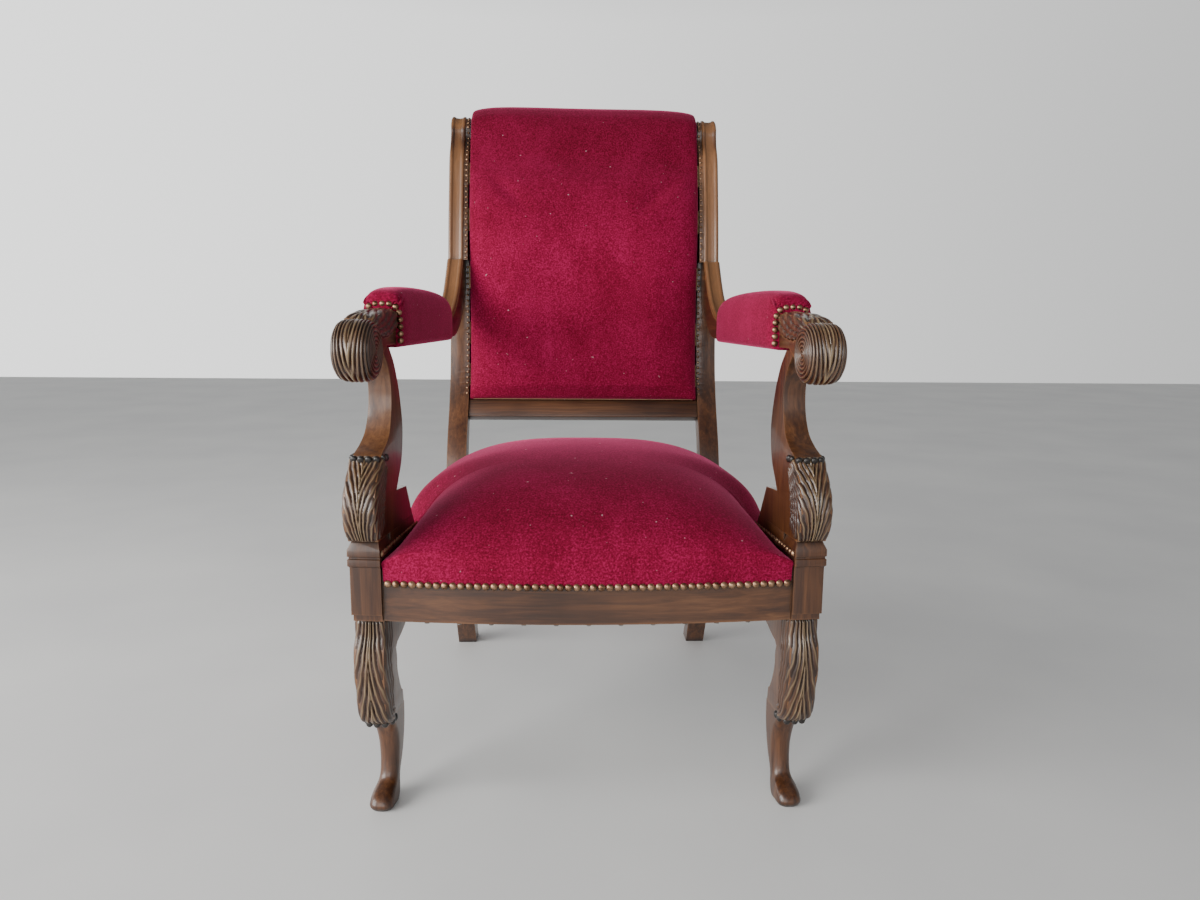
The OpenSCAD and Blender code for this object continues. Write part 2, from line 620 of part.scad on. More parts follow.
module seat_webbing() color(jute) {
    for (i = [0:4]) let (x = web_along[i])
        across(x - strap_w / 2, x + strap_w / 2,
            band([bow_y(x) + 8, rear_rail_y + rear_rail_t - 4], web_across, i));
    for (j = [0:3]) let (y = web_across[j], half = side_x(rail_out - 6, y))
        along(y - strap_w / 2, y + strap_w / 2,
            band([-half, half], web_along, j + 1));
}

cloth_side = [[side_x(-block_w / 2 - 3, 18), 18], [side_x(-block_w / 2 - 3, bracket_end), bracket_end],
    [side_x(rail_out - 5, bracket_end), bracket_end], [side_x(rail_out - 5, seat_d - 6), seat_d - 6],
    [rear_half - 4, seat_d - 6], [rear_half - 4, rear_rail_y + rear_rail_t - 3]];

module seat_bottom_cloth() color(black_cloth) {
    z = web_z - 4;
    translate([0, 0, z]) linear_extrude(0.8) polygon([
        for (s = [1, -1]) for (p = s > 0 ? cloth_side : reversed(cloth_side)) [s * p[0], p[1]]]);
}

module tack() cylinder(d = 6, h = 0.9, $fn = 16);

module seat_bottom_tacks() color("#303236") {
    z = web_z - 5;
    for (x = [-200:40:200]) {
        translate([x, bow_y(x) + 18, z]) tack();
    }
    for (x = [-180:40:180]) translate([x, rear_rail_y + rear_rail_t - 9, z]) tack();
    for (s = [-1, 1]) for (y = [bracket_end + 20:45:seat_d - 30])
        on_side(s) translate([side_x(rail_out - 12, y), y, z]) tack();
}

// ---------- springs ----------

spring_wire = 3.6;
spring_turns = 5;
spring_xs = [-122, 0, 122];
spring_ys = [dome_mid - 134, dome_mid, dome_mid + 128];
spring_foot = web_z + 1.7 + spring_wire / 2;
function spring_top(x, y) = min([for (dx = [-1, 0, 1]) for (dy = [-1, 0, 1])
    spring_z(x + dx * spring_d / 2, y + dy * spring_d / 2)]) - spring_wire - 5.2;

// An hourglass coil with flat end turns, swept with a four-sided wire
module spring(h) {
    per_turn = 12;
    n = spring_turns * per_turn;
    function flat(t) = clamp01((t * spring_turns - 0.8) / (spring_turns - 1.6));
    // How many wire widths an end turn climbs, from -1 at the foot to 1 at the head
    function climb(turn) = turn < 0.8 ? turn / 0.8 - 1
        : turn > spring_turns - 0.8 ? (turn - spring_turns + 0.8) / 0.8 : 0;
    function mid(i) = let (t = i / n, a = 360 * spring_turns * t,
        r = (spring_d / 2 - spring_wire / 2) * (0.66 + 0.34 * pow(abs(2 * t - 1), 1.6)))
        [r * cos(a), r * sin(a),
            (h - spring_wire) * flat(t) + spring_wire * 1.05 * (climb(t * spring_turns) + 1)];
    sides = 4;
    function ring(i) = let (p = mid(i), a = 360 * spring_turns * i / n)
        [for (k = [0:sides - 1]) let (b = 45 + 90 * k)
            p + 0.6 * spring_wire * [cos(a) * cos(b), sin(a) * cos(b), sin(b)]];
    polyhedron([for (i = [0:n]) for (p = ring(i)) p], concat(
        [[for (k = [sides - 1:-1:0]) k]], [[for (k = [0:sides - 1]) n * sides + k]],
        [for (i = [0:n - 1]) for (k = [0:sides - 1]) let (a = i * sides, j = (k + 1) % sides)
            [a + k, a + sides + j, a + sides + k]],
        [for (i = [0:n - 1]) for (k = [0:sides - 1]) let (a = i * sides, j = (k + 1) % sides)
            [a + k, a + j, a + sides + j]]));
}

module seat_springs() color(steel)
    for (x = spring_xs) for (y = spring_ys)
        translate([x, y, spring_foot]) spring(spring_top(x, y) - spring_foot - spring_wire);

// Cords that tie the tops of the springs to the rails
twine_d = 2;
module spring_twine() color(jute) for (x = spring_xs) {
    lift = spring_wire + 2.2;
    reach = spring_d / 2 + 4;
    line = concat([[bow_y(x) + rail_t - 5, rail_top + 0.1]],
        [for (y = spring_ys) for (e = [-1, 1]) let (over = spring_z(x + 5 + twine_d, y + e * reach) - 3)
            [y + e * reach, min(spring_top(x, y) + lift, over) - twine_d / 2]],
        [[rear_rail_y + 5, rail_top + 0.1]]);
    across(x + 5, x + 5 + twine_d, concat(line, [for (p = reversed(line)) p + [0, twine_d]]));
}

// ---------- back ----------

// The surface that the back's padding lies on, as [y, z] from the lower rail up and over the roll
back_line = concat(
    curve([[seat_d + 60, low_z(0.387)], [seat_d + 73, low_z(0.45)], [seat_d + 84, low_z(0.55)],
        [seat_d + 91, low_z(0.68)], [seat_d + 93, low_z(0.84)], [seat_d + 92, arm_joint_z + 6],
        [seat_d + 95, high_z(0.32)], [seat_d + 104, high_z(0.56)], [seat_d + 120, high_z(0.82)],
        [roll_y + roll_r * cos(150), roll_z + roll_r * sin(150)]], 2),
    arc(roll_y, roll_z, roll_r - 4, 140, -70, 12));
back_n = len(back_line) - 1;
back_tilt = [for (i = [0:back_n])
    let (d = back_line[min(back_n, i + 1)] - back_line[max(0, i - 1)]) atan2(d[1], d[0])];
function back_point(x, i, h) =
    [x, back_line[i][0] - h * sin(back_tilt[i]), back_line[i][1] + h * cos(back_tilt[i])];

back_cols = [for (k = [-8:8]) sin(k * 90 / 8) * 0.5 + (k / 8) * 0.5];
back_m = len(back_cols) - 1;
back_half = rear_half - 3;
// Depth of the pad along its middle and along its edges
function back_mid(t) =
    lerp(back_pad * (0.45 + 0.55 * bump((t - 0.4) / 0.6, 2.6, 0.6)), 13, smooth((t - 0.56) / 0.14))
        * (1 - 0.7 * smooth((t - 0.8) / 0.2));
function back_side(t) = 9 - 5 * smooth((t - 0.55) / 0.2);
function back_height(u, i) = let (t = i / back_n) lerp(back_side(t), back_mid(t), bump(u, 3.2, 0.6));

function back_grid(inset) = [for (i = [0:back_n]) concat(
    [back_point(-(back_half - inset), i, 1)],
    [for (k = [1:len(back_cols) - 2]) let (u = back_cols[k])
        back_point(u * (back_half - inset), i, back_height(u, i) - inset)],
    [back_point(back_half - inset, i, 1)])];
function under_grid(inset, h) = [for (i = [0:back_n - 11])
    [for (u = back_cols) back_point(u * (back_half - inset), i, h)]];

module back_cover() color(velvet) slab(back_grid(0), [for (i = [0:back_n]) [for (k = [0:back_m])
    let (u = back_cols[k], edge = k == 0 || k == back_m)
        back_point(u * (back_half - cover_t), i, edge ? 1 : back_height(u, i) - cover_t)]]);
module back_stuffing() color(horsehair) slab(
    [for (i = [0:back_n - 11]) [for (u = back_cols)
        let (h = abs(u) > 0.99 ? 2 : max(2.4, back_height(u, i) - cover_t - 1.6))
        back_point(u * (back_half - cover_t - 2), i, h)]],
    under_grid(cover_t + 2, 1.4));
module back_lining() color(jute) slab(
    [for (i = [0:back_n - 11]) [for (e = [-1, 1]) back_point(e * (back_half - 6), i, 1.2)]],
    [for (i = [0:back_n - 11]) [for (e = [-1, 1]) back_point(e * (back_half - 6), i, 0.2)]]);

module back_webbing() color(jute) {
    for (i = [3:3:back_n - 14]) {
        p = back_line[i];
        translate([0, p[0], p[1]]) rotate([back_tilt[i] - 90, 0, 0])
            translate([-rear_half + fit, 4.2, -strap_w / 2 + 5])
            cube([2 * (rear_half - fit), strap_t, strap_w - 10]);
    }
    for (x = [-110, 0, 110]) slab(
        [for (i = [2:back_n - 14]) [for (e = [-1, 1]) back_point(x + e * strap_w / 2, i, -8.2)]],
        [for (i = [2:back_n - 14]) [for (e = [-1, 1]) back_point(x + e * strap_w / 2, i, -8.2 - strap_t)]]);
}

// The outside of the back: one sheet of velvet on the rear faces of the posts
outer_line = concat([[seat_d + 96, low_z(0.36) - 18]], [for (p = concat(
        curve([for (i = [4:9]) post_low_back[i]], 2), curve([for (i = [1:4]) post_high_back[i]], 3)))
    if (p[1] < roll_z - roll_r) [p[0] + 3, p[1]]]);
outer_n = len(outer_line) - 1;
outer_tilt = [for (i = [0:outer_n])
    let (d = outer_line[min(outer_n, i + 1)] - outer_line[max(0, i - 1)]) atan2(d[1], d[0])];
function outer_sheet(half, h) = [for (i = [0:outer_n]) [for (x = [half, -half])
    [x, outer_line[i][0] + h * sin(outer_tilt[i]), outer_line[i][1] - h * cos(outer_tilt[i])]]];
module outer_back_cover() color(velvet)
    slab(outer_sheet(rear_half + 8, cover_t), outer_sheet(rear_half + 8, 0));

// ---------- nails ----------

nail_r = nail_d / 2;
shank_d = 1.6;
shank_l = 12;
dome_r = (nail_r * nail_r + 9) / 6;

module nail_head() intersection() {
    translate([0, 0, 3 - dome_r]) sphere(r = dome_r, $fn = 32);
    cylinder(r = nail_r, h = 4, $fn = 32);
}

// A domed nail that points along -z, with its head standing on z = lift
module nail(lift) {
    translate([0, 0, lift]) nail_head();
    translate([0, 0, -shank_l]) cylinder(d = shank_d, h = shank_l + lift + 0.5, $fn = 16);
}

module shank_hole() translate([0, 0, -shank_l - 0.5]) cylinder(d = shank_d + 0.1, h = shank_l + 2, $fn = 16);

front_nails = floor(2 * (front_half - 8) / nail_pitch);
nail_z = front_skirt - shank_d / 2 - 0.2;
module at_front_nails() {
    for (k = [0:front_nails]) {
        x = lerp(-front_half + 8, front_half - 8, k / front_nails);
        translate([x, bow_y(x), nail_z]) rotate([90, 0, asin(x / bow_r)]) children();
    }
}
module front_nail_holes() at_front_nails() shank_hole();

plinth_nails = floor((plinth_end_y - 18) / nail_pitch);
module at_plinth_nails() {
    for (k = [0:plinth_nails])
        translate([-block_w / 2, 8 + k * nail_pitch, rail_top + seat_edge + nail_r + 2.4])
        rotate([0, -90, 0]) children();
}
module plinth_nail_holes() at_plinth_nails() shank_hole();

side_nail_count = floor((narrow[0] - widen[1] - 18) / nail_pitch);
module at_side_nails() {
    side_line() for (k = [0:side_nail_count])
        translate([rail_out, widen[1] + 8 + k * nail_pitch, rail_top - 24 - shank_d / 2 - 0.2])
            rotate([0, 90, 0]) children();
}
module side_nail_holes() at_side_nails() shank_hole();

module seat_nails() color(brass) {
    at_front_nails() nail(cover_t + 0.3);
    for (s = [-1, 1]) on_side(s) {
        side_line() at_plinth_nails() nail(0.3);
        at_side_nails() nail(cover_t + 0.9);
    }
}

// Points at equal steps along a line of points
function line_length(p, i) = i == 0 ? 0 : line_length(p, i - 1) + norm(p[i] - p[i - 1]);
function point_along(p, l, i = 1) = i >= len(p) - 1 || norm(p[i] - p[i - 1]) >= l
    ? let (d = p[i] - p[i - 1], q = p[i - 1] + d * l / norm(d)) [q[0], q[1], atan2(d[1], d[0])]
    : point_along(p, l - norm(p[i] - p[i - 1]), i + 1);

low_face = [for (p = curve(post_low_front)) if (p[1] > low_z(0.39)) p];
high_face = concat(curve(post_high_front), arc(roll_y, roll_z, roll_r, 150, 100, 6));
back_nail_x = rear_half + 2.6;
module at_face_nails(face) {
    n = floor((line_length(face, len(face) - 1) - 8) / nail_pitch);
    for (k = [0:n]) let (q = point_along(face, 4 + k * nail_pitch))
        translate([back_nail_x, q[0], q[1]]) rotate([q[2], 0, 0]) children();
}
module at_back_nails() {
    at_face_nails(low_face) children();
    at_face_nails(high_face) children();
}
module back_nail_holes() at_back_nails() translate([0, 0, -6.5]) cylinder(d = 1.1, h = 8, $fn = 16);
module small_nail() {
    translate([0, 0, 0.3]) scale(0.5) nail_head();
    translate([0, 0, -6]) cylinder(d = 1, h = 7, $fn = 16);
}
module back_nails() color(brass) for (s = [-1, 1]) on_side(s) at_back_nails() small_nail();

module outer_back_nails() color(brass) {
    half = rear_half + 5;
    n = floor((line_length(outer_line, len(outer_line) - 1) - 12) / (1.6 * nail_pitch));
    for (s = [-1, 1]) on_side(s) for (k = [0:n]) let (q = point_along(outer_line, 8 + k * 1.6 * nail_pitch))
        translate([half, q[0], q[1]]) rotate([q[2], 0, 0]) translate([0, 0, -cover_t - 0.2]) mirror([0, 0, 1])
            nail_head();
}

// ---------- arm pads ----------

// A ring round the arm: half width, bottom, top, squareness
ring_n = 28;
function ring_point(r, a) = let (c = cos(a), s = sin(a), e = s < -0.01 ? r[4] * 0.45 : r[4])
    [r[1] * sign(c) * pow(abs(c), e), r[0], (r[2] + r[3]) / 2 + (r[3] - r[2]) / 2 * sign(s) * pow(abs(s), e)];
function arm_ring(r) = [for (k = [0:ring_n - 1]) ring_point(r, 360 * k / ring_n)];
pad_w = arm_w / 2 + 11;
pad_top = arm_z + arm_t + pad_h;

// Rings of the arm's padding, each [y, half width, bottom, top, squareness]
function pad_rings(inset) = let (b = arm_z - cover_t - 1.6 + inset, t = pad_top - inset, w = pad_w - inset)
    [[pad_y0 - 1 + inset, w - 4, b, t - 14, 0.55], [pad_y0 + 3 + inset, w - 3.5, b, t - 9, 0.6],
        [pad_y0 + 14, w - 1.5, b, t - 5, 0.62], [pad_y0 + 45, w, b, t - 1.5, 0.65],
        [pad_y0 + 110, w + 1, b, t, 0.65], [pad_y0 + 200, w + 1, b, t - 1, 0.65],
        [pad_y1 - 60, w, b, t - 5, 0.65], [pad_y1 - 24, w - 2, b, t - 12, 0.62],
        [pad_y1 - 8 - inset / 2, w - 5, b, t - 20, 0.6], [pad_y1 - inset, w - 7, b, t - 29, 0.5]];

module arm_cover(s) color(velvet) on_side(s) arm_line()
    sleeve([for (r = pad_rings(0)) arm_ring(r)], [for (r = pad_rings(cover_t)) arm_ring(r)]);

// The arm's stuffing is a saddle on the wood, open below
saddle = [for (k = [0:16]) 180 - k * 180 / 16];
module arm_stuffing(s) color(horsehair) on_side(s) arm_line() {
    rings = [for (i = [1:8]) pad_rings(cover_t + 0.3)[i]];
    slab([for (r = rings) concat([[-r[1] + 1.5, r[0], arm_z + 10]], [for (a = saddle) ring_point(r, a)],
            [[r[1] - 1.5, r[0], arm_z + 10]])],
        [for (r = rings) let (w = arm_w / 2 + 0.6, t = arm_z + (r[0] < pad_y0 + 13 ? 43 : arm_t + 0.8))
            concat([[-w, r[0], arm_z + 10]],
                [for (a = saddle)
                    [w * clamp(-1, cos(a) * 1.8, 1), r[0], lerp(arm_z + 12, t, min(1, sin(a) * 1.8))]],
                [[w, r[0], arm_z + 10]])]);
}

// Nails round the neck of the arm, in an arch, and a row under the edge of the pad
arch_w = arm_w / 2 + 5.5;
arch = concat([[-arch_w, arm_z + 4]], [for (k = [0:16]) let (c = cos(k * 11.25))
        [-arch_w * sign(c) * pow(abs(c), 0.6), arm_z + 24 + 26.5 * pow(sin(k * 11.25), 0.6)]],
    [[arch_w, arm_z + 4]]);
module arm_nails(s) color(brass) on_side(s) arm_line() {
    n = floor((line_length(arch, len(arch) - 1) - 1) / (0.88 * nail_pitch));
    for (k = [0:n]) let (q = point_along(arch, 0.5 + k * 0.88 * nail_pitch))
        translate([q[0], pad_y0 - 1.4, q[1]]) rotate([90, 0, 0]) scale(0.85) nail_head();
}

// ---------- assembly ----------

module place() translate([0, -mid_y, 0]) children();

place() front_leg(-1);  // front_leg_left
place() front_leg(1);  // front_leg_right
place() rear_post(-1);  // rear_post_left
place() rear_post(1);  // rear_post_right
place() translate([0, 0, leg_h]) front_seat_rail();
place() rear_seat_rail();
place() side_seat_rail(-1);  // side_seat_rail_left
place() side_seat_rail(1);  // side_seat_rail_right
place() color(wood) back_rail(low_rail);  // back_lower_rail
place() color(beech) back_rail(top_rail);  // back_top_rail
place() corner_block(-1, true);  // corner_block_front_left
place() corner_block(1, true);  // corner_block_front_right
place() corner_block(-1, false);  // corner_block_rear_left
place() corner_block(1, false);  // corner_block_rear_right
place() corner_block_screws();
place() arm_support(-1);  // arm_support_left
place() arm_support(1);  // arm_support_right
place() arm_rail(-1);  // arm_rail_left
place() arm_rail(1);  // arm_rail_right
place() support_dowels();
place() arm_dowels();
place() seat_webbing();
place() seat_springs();
place() spring_twine();
place() spring_cover();
place() seat_stuffing();
place() seat_cover();
place() seat_nails();
place() seat_bottom_cloth();
place() seat_bottom_tacks();
place() back_webbing();
place() back_lining();
place() back_stuffing();
place() back_cover();
place() outer_back_cover();
place() back_nails();
place() outer_back_nails();
place() arm_stuffing(-1);  // arm_stuffing_left
place() arm_stuffing(1);  // arm_stuffing_right
place() arm_cover(-1);  // arm_cover_left
place() arm_cover(1);  // arm_cover_right
place() arm_nails(-1);  // arm_nails_left
place() arm_nails(1);  // arm_nails_right
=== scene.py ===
"""The looks of a carved armchair with a sprung velvet seat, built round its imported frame.

Lengths are in millimetres in the tables below and become metres as points are made. In them y = 0 is the
front of the corner blocks, and the floor is z = 0.
"""
import math

import bmesh
import bpy
from mathutils import Matrix, Vector, noise


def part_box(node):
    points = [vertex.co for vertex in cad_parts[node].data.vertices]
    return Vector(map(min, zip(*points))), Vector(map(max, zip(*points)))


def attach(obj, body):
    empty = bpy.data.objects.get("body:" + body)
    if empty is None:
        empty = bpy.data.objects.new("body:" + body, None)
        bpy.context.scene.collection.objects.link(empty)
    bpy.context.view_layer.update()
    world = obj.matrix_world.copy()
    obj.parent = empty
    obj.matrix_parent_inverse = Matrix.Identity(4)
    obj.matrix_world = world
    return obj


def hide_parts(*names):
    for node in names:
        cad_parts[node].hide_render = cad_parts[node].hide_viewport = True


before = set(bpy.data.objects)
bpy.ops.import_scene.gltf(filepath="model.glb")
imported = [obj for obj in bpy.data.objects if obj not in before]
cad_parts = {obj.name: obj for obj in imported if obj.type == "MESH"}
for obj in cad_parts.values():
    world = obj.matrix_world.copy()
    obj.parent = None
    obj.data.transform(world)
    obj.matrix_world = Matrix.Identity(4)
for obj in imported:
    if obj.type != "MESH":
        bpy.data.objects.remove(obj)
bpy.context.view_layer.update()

MM = 0.001
LEFT, RIGHT = -1, 1
SIDES = ((LEFT, "left"), (RIGHT, "right"))

# The frame's own sizes
SEAT_W, BACK_W, SEAT_D = 579, 482, 478
BLOCK_W, POST_W = 38, 34
RAIL_BOTTOM, RAIL_TOP = 267, 331
RAIL_SET, RAIL_OUT, FRONT_BOW = 3, 16, 17
ARM_Z, ARM_T, ARM_W = 600, 32, 34
JOINT_Z, ROLL_Y, ROLL_Z, ROLL_R = 733, 650, 958, 34
SCROLL_Y, SCROLL_Z, SCROLL_R, SCROLL_W = -13, 596, 34, 42
COVER, SEAT_EDGE, CROWN, GUTTER = 2.5, 13, 118, 8
PAD_Y0, PAD_Y1 = 104, 426
PLINTH_END = 170
LEG_X = (SEAT_W - BLOCK_W) / 2
POST_X = (BACK_W - POST_W) / 2
REAR_HALF = POST_X - POST_W / 2
SKEW = math.atan((LEG_X - POST_X) / SEAT_D)
ARM_FRONT_X, ARM_BACK_X = LEG_X - 3.5, POST_X + 3.5
ARM_SKEW = math.atan((ARM_FRONT_X - ARM_BACK_X) / (SEAT_D + 80 - SCROLL_Y))
BLOCK_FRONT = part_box("rear_post_right")[0].y - SEAT_D * MM


# ---------- places ----------

def at(x, y, z):
    """A point of the chair, from millimetres."""
    return Vector((x * MM, y * MM + BLOCK_FRONT, z * MM))


def on_side(side):
    """Places a point in the line of a front leg and side rail."""
    def place(x, y, z):
        across = LEG_X + x * math.cos(SKEW) - y * math.sin(SKEW)
        return at(side * across, x * math.sin(SKEW) + y * math.cos(SKEW), z)
    return place


def on_arm(side):
    """Places a point in the line of an arm, whose y starts at the scroll's centre."""
    def place(x, y, z):
        across = ARM_FRONT_X + x * math.cos(ARM_SKEW) - y * math.sin(ARM_SKEW)
        return at(side * across, SCROLL_Y + x * math.sin(ARM_SKEW) + y * math.cos(ARM_SKEW), z)
    return place


def mix(a, b, t):
    return a + (b - a) * t


def clamp(v, low=0.0, high=1.0):
    return max(low, min(high, v))


def smooth(t):
    t = clamp(t)
    return t * t * (3 - 2 * t)


def bump_curve(a, p, q):
    return max(0.0, 1 - min(1, abs(a)) ** p) ** q


def ridge(phase):
    """Rounded ridges with sharp furrows between them, one per unit of phase."""
    return abs(math.sin(math.pi * phase)) ** 0.6


def curve_line(points, steps):
    """A smooth line through points, with steps between each pair."""
    out = []
    last = len(points) - 1
    for i in range(last):
        a, b, c, d = (points[max(0, min(last, i + k))] for k in (-1, 0, 1, 2))
        for k in range(steps):
            t = k / steps
            out.append(tuple(0.5 * (2 * q + (r - p) * t + (2 * p - 5 * q + 4 * r - s) * t * t
                                    + (3 * q - p - 3 * r + s) * t ** 3) for p, q, r, s in zip(a, b, c, d)))
    return out + [tuple(points[-1])]


def arc(y, z, radius, start, end, steps):
    turns = [math.radians(mix(start, end, k / steps)) for k in range(steps + 1)]
    return [(y + radius * math.cos(a), z + radius * math.sin(a)) for a in turns]


def even_line(points, count):
    """The same line cut into equal steps, with each point's outward normal: the left of its direction."""
    lengths = [0.0]
    for p, q in zip(points, points[1:]):
        lengths.append(lengths[-1] + math.dist(p, q))
    out, i = [], 0
    for k in range(count + 1):
        want = lengths[-1] * k / count
        while i < len(points) - 2 and lengths[i + 1] < want:
            i += 1
        t = (want - lengths[i]) / max(1e-9, lengths[i + 1] - lengths[i])
        out.append((mix(points[i][0], points[i + 1][0], t), mix(points[i][1], points[i + 1][1], t)))
    path = []
    for k, p in enumerate(out):
        q, r = out[max(0, k - 1)], out[min(count, k + 1)]
        size = math.dist(q, r)
        path.append((p[0], p[1], -(r[1] - q[1]) / size, (r[0] - q[0]) / size))
    return path


# ---------- mesh helpers ----------

def deselect():
    if bpy.context.mode != "OBJECT":
        bpy.ops.object.mode_set(mode="OBJECT")
    bpy.ops.object.select_all(action="DESELECT")


def choose(piece):
    deselect()
    piece.select_set(True)
    bpy.context.view_layer.objects.active = piece
    return piece


def apply_modifiers(piece):
    choose(piece)
    for modifier in list(piece.modifiers):
        bpy.ops.object.modifier_apply(modifier=modifier.name)
    return piece


def smooth_shaded(piece, degrees=35):
    choose(piece)
    bpy.ops.object.shade_smooth_by_angle(angle=math.radians(degrees))
    return piece


def settle(piece):
    """Puts the piece's place into its mesh."""
    choose(piece)
    bpy.ops.object.transform_apply(location=True, rotation=True, scale=True)
    return piece


def outward(piece):
    """Merges doubled points and turns the faces outwards."""
    choose(piece)
    bpy.ops.object.mode_set(mode="EDIT")
    bpy.ops.mesh.select_all(action="SELECT")
    bpy.ops.mesh.remove_doubles(threshold=0.00001)
    bpy.ops.mesh.normals_make_consistent(inside=False)
    bpy.ops.object.mode_set(mode="OBJECT")
    return piece


def add_mesh(name, points, faces):
    mesh = bpy.data.meshes.new(name)
    mesh.from_pydata(points, [], faces)
    piece = bpy.data.objects.new(name, mesh)
    bpy.context.scene.collection.objects.link(piece)
    return piece


def copy_of(node, name):
    """A copy of a CAD node with its own mesh."""
    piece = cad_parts[node].copy()
    piece.data = piece.data.copy()
    piece.parent = None
    piece.name = name
    bpy.context.scene.collection.objects.link(piece)
    return piece


def add_wear_and_painted_light(piece, amounts):
    """Stores how worn each point is, with its painted highlight and shade, for the carved finish."""
    layer = piece.data.attributes.new("wear", "FLOAT", "POINT")
    layer.data.foreach_set("value", amounts)


def lofted(name, rings):
    """A closed solid through rings of points, with a flat cap at each end."""
    count = len(rings[0])
    faces = []
    for i in range(len(rings) - 1):
        for k in range(count):
            n = (k + 1) % count
            faces.append((i * count + k, i * count + n, (i + 1) * count + n, (i + 1) * count + k))
    faces.append(tuple(range(count)))
    faces.append(tuple((len(rings) - 1) * count + k for k in reversed(range(count))))
    return outward(add_mesh(name, [p for ring in rings for p in ring], faces))


def shell_between(name, top, under, wear=None):
    """A closed solid between two grids of points; the wear with its painted highlight and shade, a number for
    each top point, goes to an attribute.
    """
    rows, cols = len(top), len(top[0])
    count = rows * cols
    points = [p for row in top for p in row] + [p for row in under for p in row]
    faces = []
    for i in range(rows - 1):
        for j in range(cols - 1):
            a = i * cols + j
            faces.append((a, a + 1, a + cols + 1, a + cols))
            faces.append((count + a, count + a + cols, count + a + cols + 1, count + a + 1))
    rim = ([j for j in range(cols)] + [i * cols + cols - 1 for i in range(1, rows)]
           + [(rows - 1) * cols + j for j in range(cols - 2, -1, -1)]
           + [i * cols for i in range(rows - 2, 0, -1)])
    for a, b in zip(rim, rim[1:] + rim[:1]):
        faces.append((a, count + a, count + b, b))
    piece = add_mesh(name, points, faces)
    if wear:
        add_wear_and_painted_light(piece, [w for row in wear for w in row] + [0.0] * count)
    return outward(piece)


def eased(node, name, sharp, soft=None, soft_below=0.0, flat=0.6, shade=35):
    """A copy of a CAD node with its sharp edges rounded: by soft below a height, and by sharp above it."""
    piece = copy_of(node, name)
    piece.hide_render = piece.hide_viewport = False
    work = bmesh.new()
    work.from_mesh(piece.data)
    bmesh.ops.remove_doubles(work, verts=work.verts, dist=0.00002)
    bmesh.ops.dissolve_limit(work, angle_limit=math.radians(flat), verts=work.verts, edges=work.edges)
    weights = work.edges.layers.float.new("bevel_weight_edge")
    widest = max(sharp, soft or 0)
    for edge in work.edges:
        if len(edge.link_faces) == 2 and edge.calc_face_angle() > math.radians(38):
            low = soft is not None and max(v.co.z for v in edge.verts) < soft_below * MM
            edge[weights] = (soft if low else sharp) / widest
    work.to_mesh(piece.data)
    work.free()
    bevel = piece.modifiers.new("rounding", "BEVEL")
    bevel.width = widest * MM
    bevel.segments = 3
    bevel.limit_method = "WEIGHT"
    apply_modifiers(piece)
    return smooth_shaded(piece, shade)


def finished(piece, material, slot, *nodes):
    piece.data.materials.clear()
    piece.data.materials.append(material)
    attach(piece, "root")
    if nodes:
        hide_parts(*nodes)
    return piece


# ---------- materials ----------

class Value:
    """A number that varies over a surface. Sums and products of it add their Math nodes."""

    def __init__(self, tree, socket):
        self.tree, self.socket = tree, socket

    def _math(self, operation, first, second=None):
        node = self.tree.nodes.new("ShaderNodeMath")
        node.operation = operation
        for slot, number in zip(node.inputs, (first, second)):
            if isinstance(number, Value):
                self.tree.links.new(number.socket, slot)
            elif number is not None:
                slot.default_value = number
        return Value(self.tree, node.outputs[0])

    def __add__(self, other):
        return self._math("ADD", self, other)

    __radd__ = __add__

    def __sub__(self, other):
        return self._math("SUBTRACT", self, other)

    def __rsub__(self, other):
        return self._math("SUBTRACT", other, self)

    def __mul__(self, other):
        return self._math("MULTIPLY", self, other)

    __rmul__ = __mul__

    def clamped(self):
        return self._math("MINIMUM", self._math("MAXIMUM", self, 0.0), 1.0)


class Finish:
    """One material's nodes."""

    def __init__(self, name, **constants):
        self.material = bpy.data.materials.new(name)
        self.material.use_nodes = True
        self.tree = self.material.node_tree
        self.shader = self.tree.nodes["Principled BSDF"]
        for socket, number in constants.items():
            self.shader.inputs[socket.replace("_", " ")].default_value = number

    def node(self, kind, output=0, settings=None, **sockets):
        made = self.tree.nodes.new("ShaderNode" + kind)
        for key, setting in (settings or {}).items():
            if key == "stops":
                while len(made.color_ramp.elements) < len(setting):
                    made.color_ramp.elements.new(1.0)
                for stop, (place, colour) in zip(made.color_ramp.elements, setting):
                    stop.position = place
                    stop.color = (*colour, 1.0)
            else:
                setattr(made, key, setting)
        for key, number in sockets.items():
            slot = made.inputs[int(key[1:])] if key[0] == "_" else made.inputs[key.replace("_", " ")]
            if isinstance(number, Value):
                self.tree.links.new(number.socket, slot)
            else:
                slot.default_value = number
        return Value(self.tree, made.outputs[output])

    def place(self, scale=(1, 1, 1), turn=(0, 0, 0)):
        """Object coordinates, stretched by scale."""
        here = self.node("TexCoord", output=3)
        return self.node("Mapping", Vector=here, Scale=scale, Rotation=turn)

    def noise(self, scale, detail=4.0, where=None, rough=0.5, warp=0.0):
        return self.node("TexNoise", Vector=where or self.place(), Scale=scale, Detail=detail,
                         Roughness=rough, Distortion=warp)

    def ramp(self, value, stops):
        return self.node("ValToRGB", settings={"stops": stops}, Fac=value)

    def blend(self, factor, first, second, kind="MIX"):
        return self.node("Mix", output=2, settings={"data_type": "RGBA", "blend_type": kind},
                         _0=factor, _6=first, _7=second)

    def feed(self, socket, value):
        self.tree.links.new(value.socket, self.shader.inputs[socket])
        return self

    def relief(self, height, strength, depth):
        raised = self.node("Bump", Height=height, Strength=strength, Distance=depth)
        return self.feed("Normal", raised)


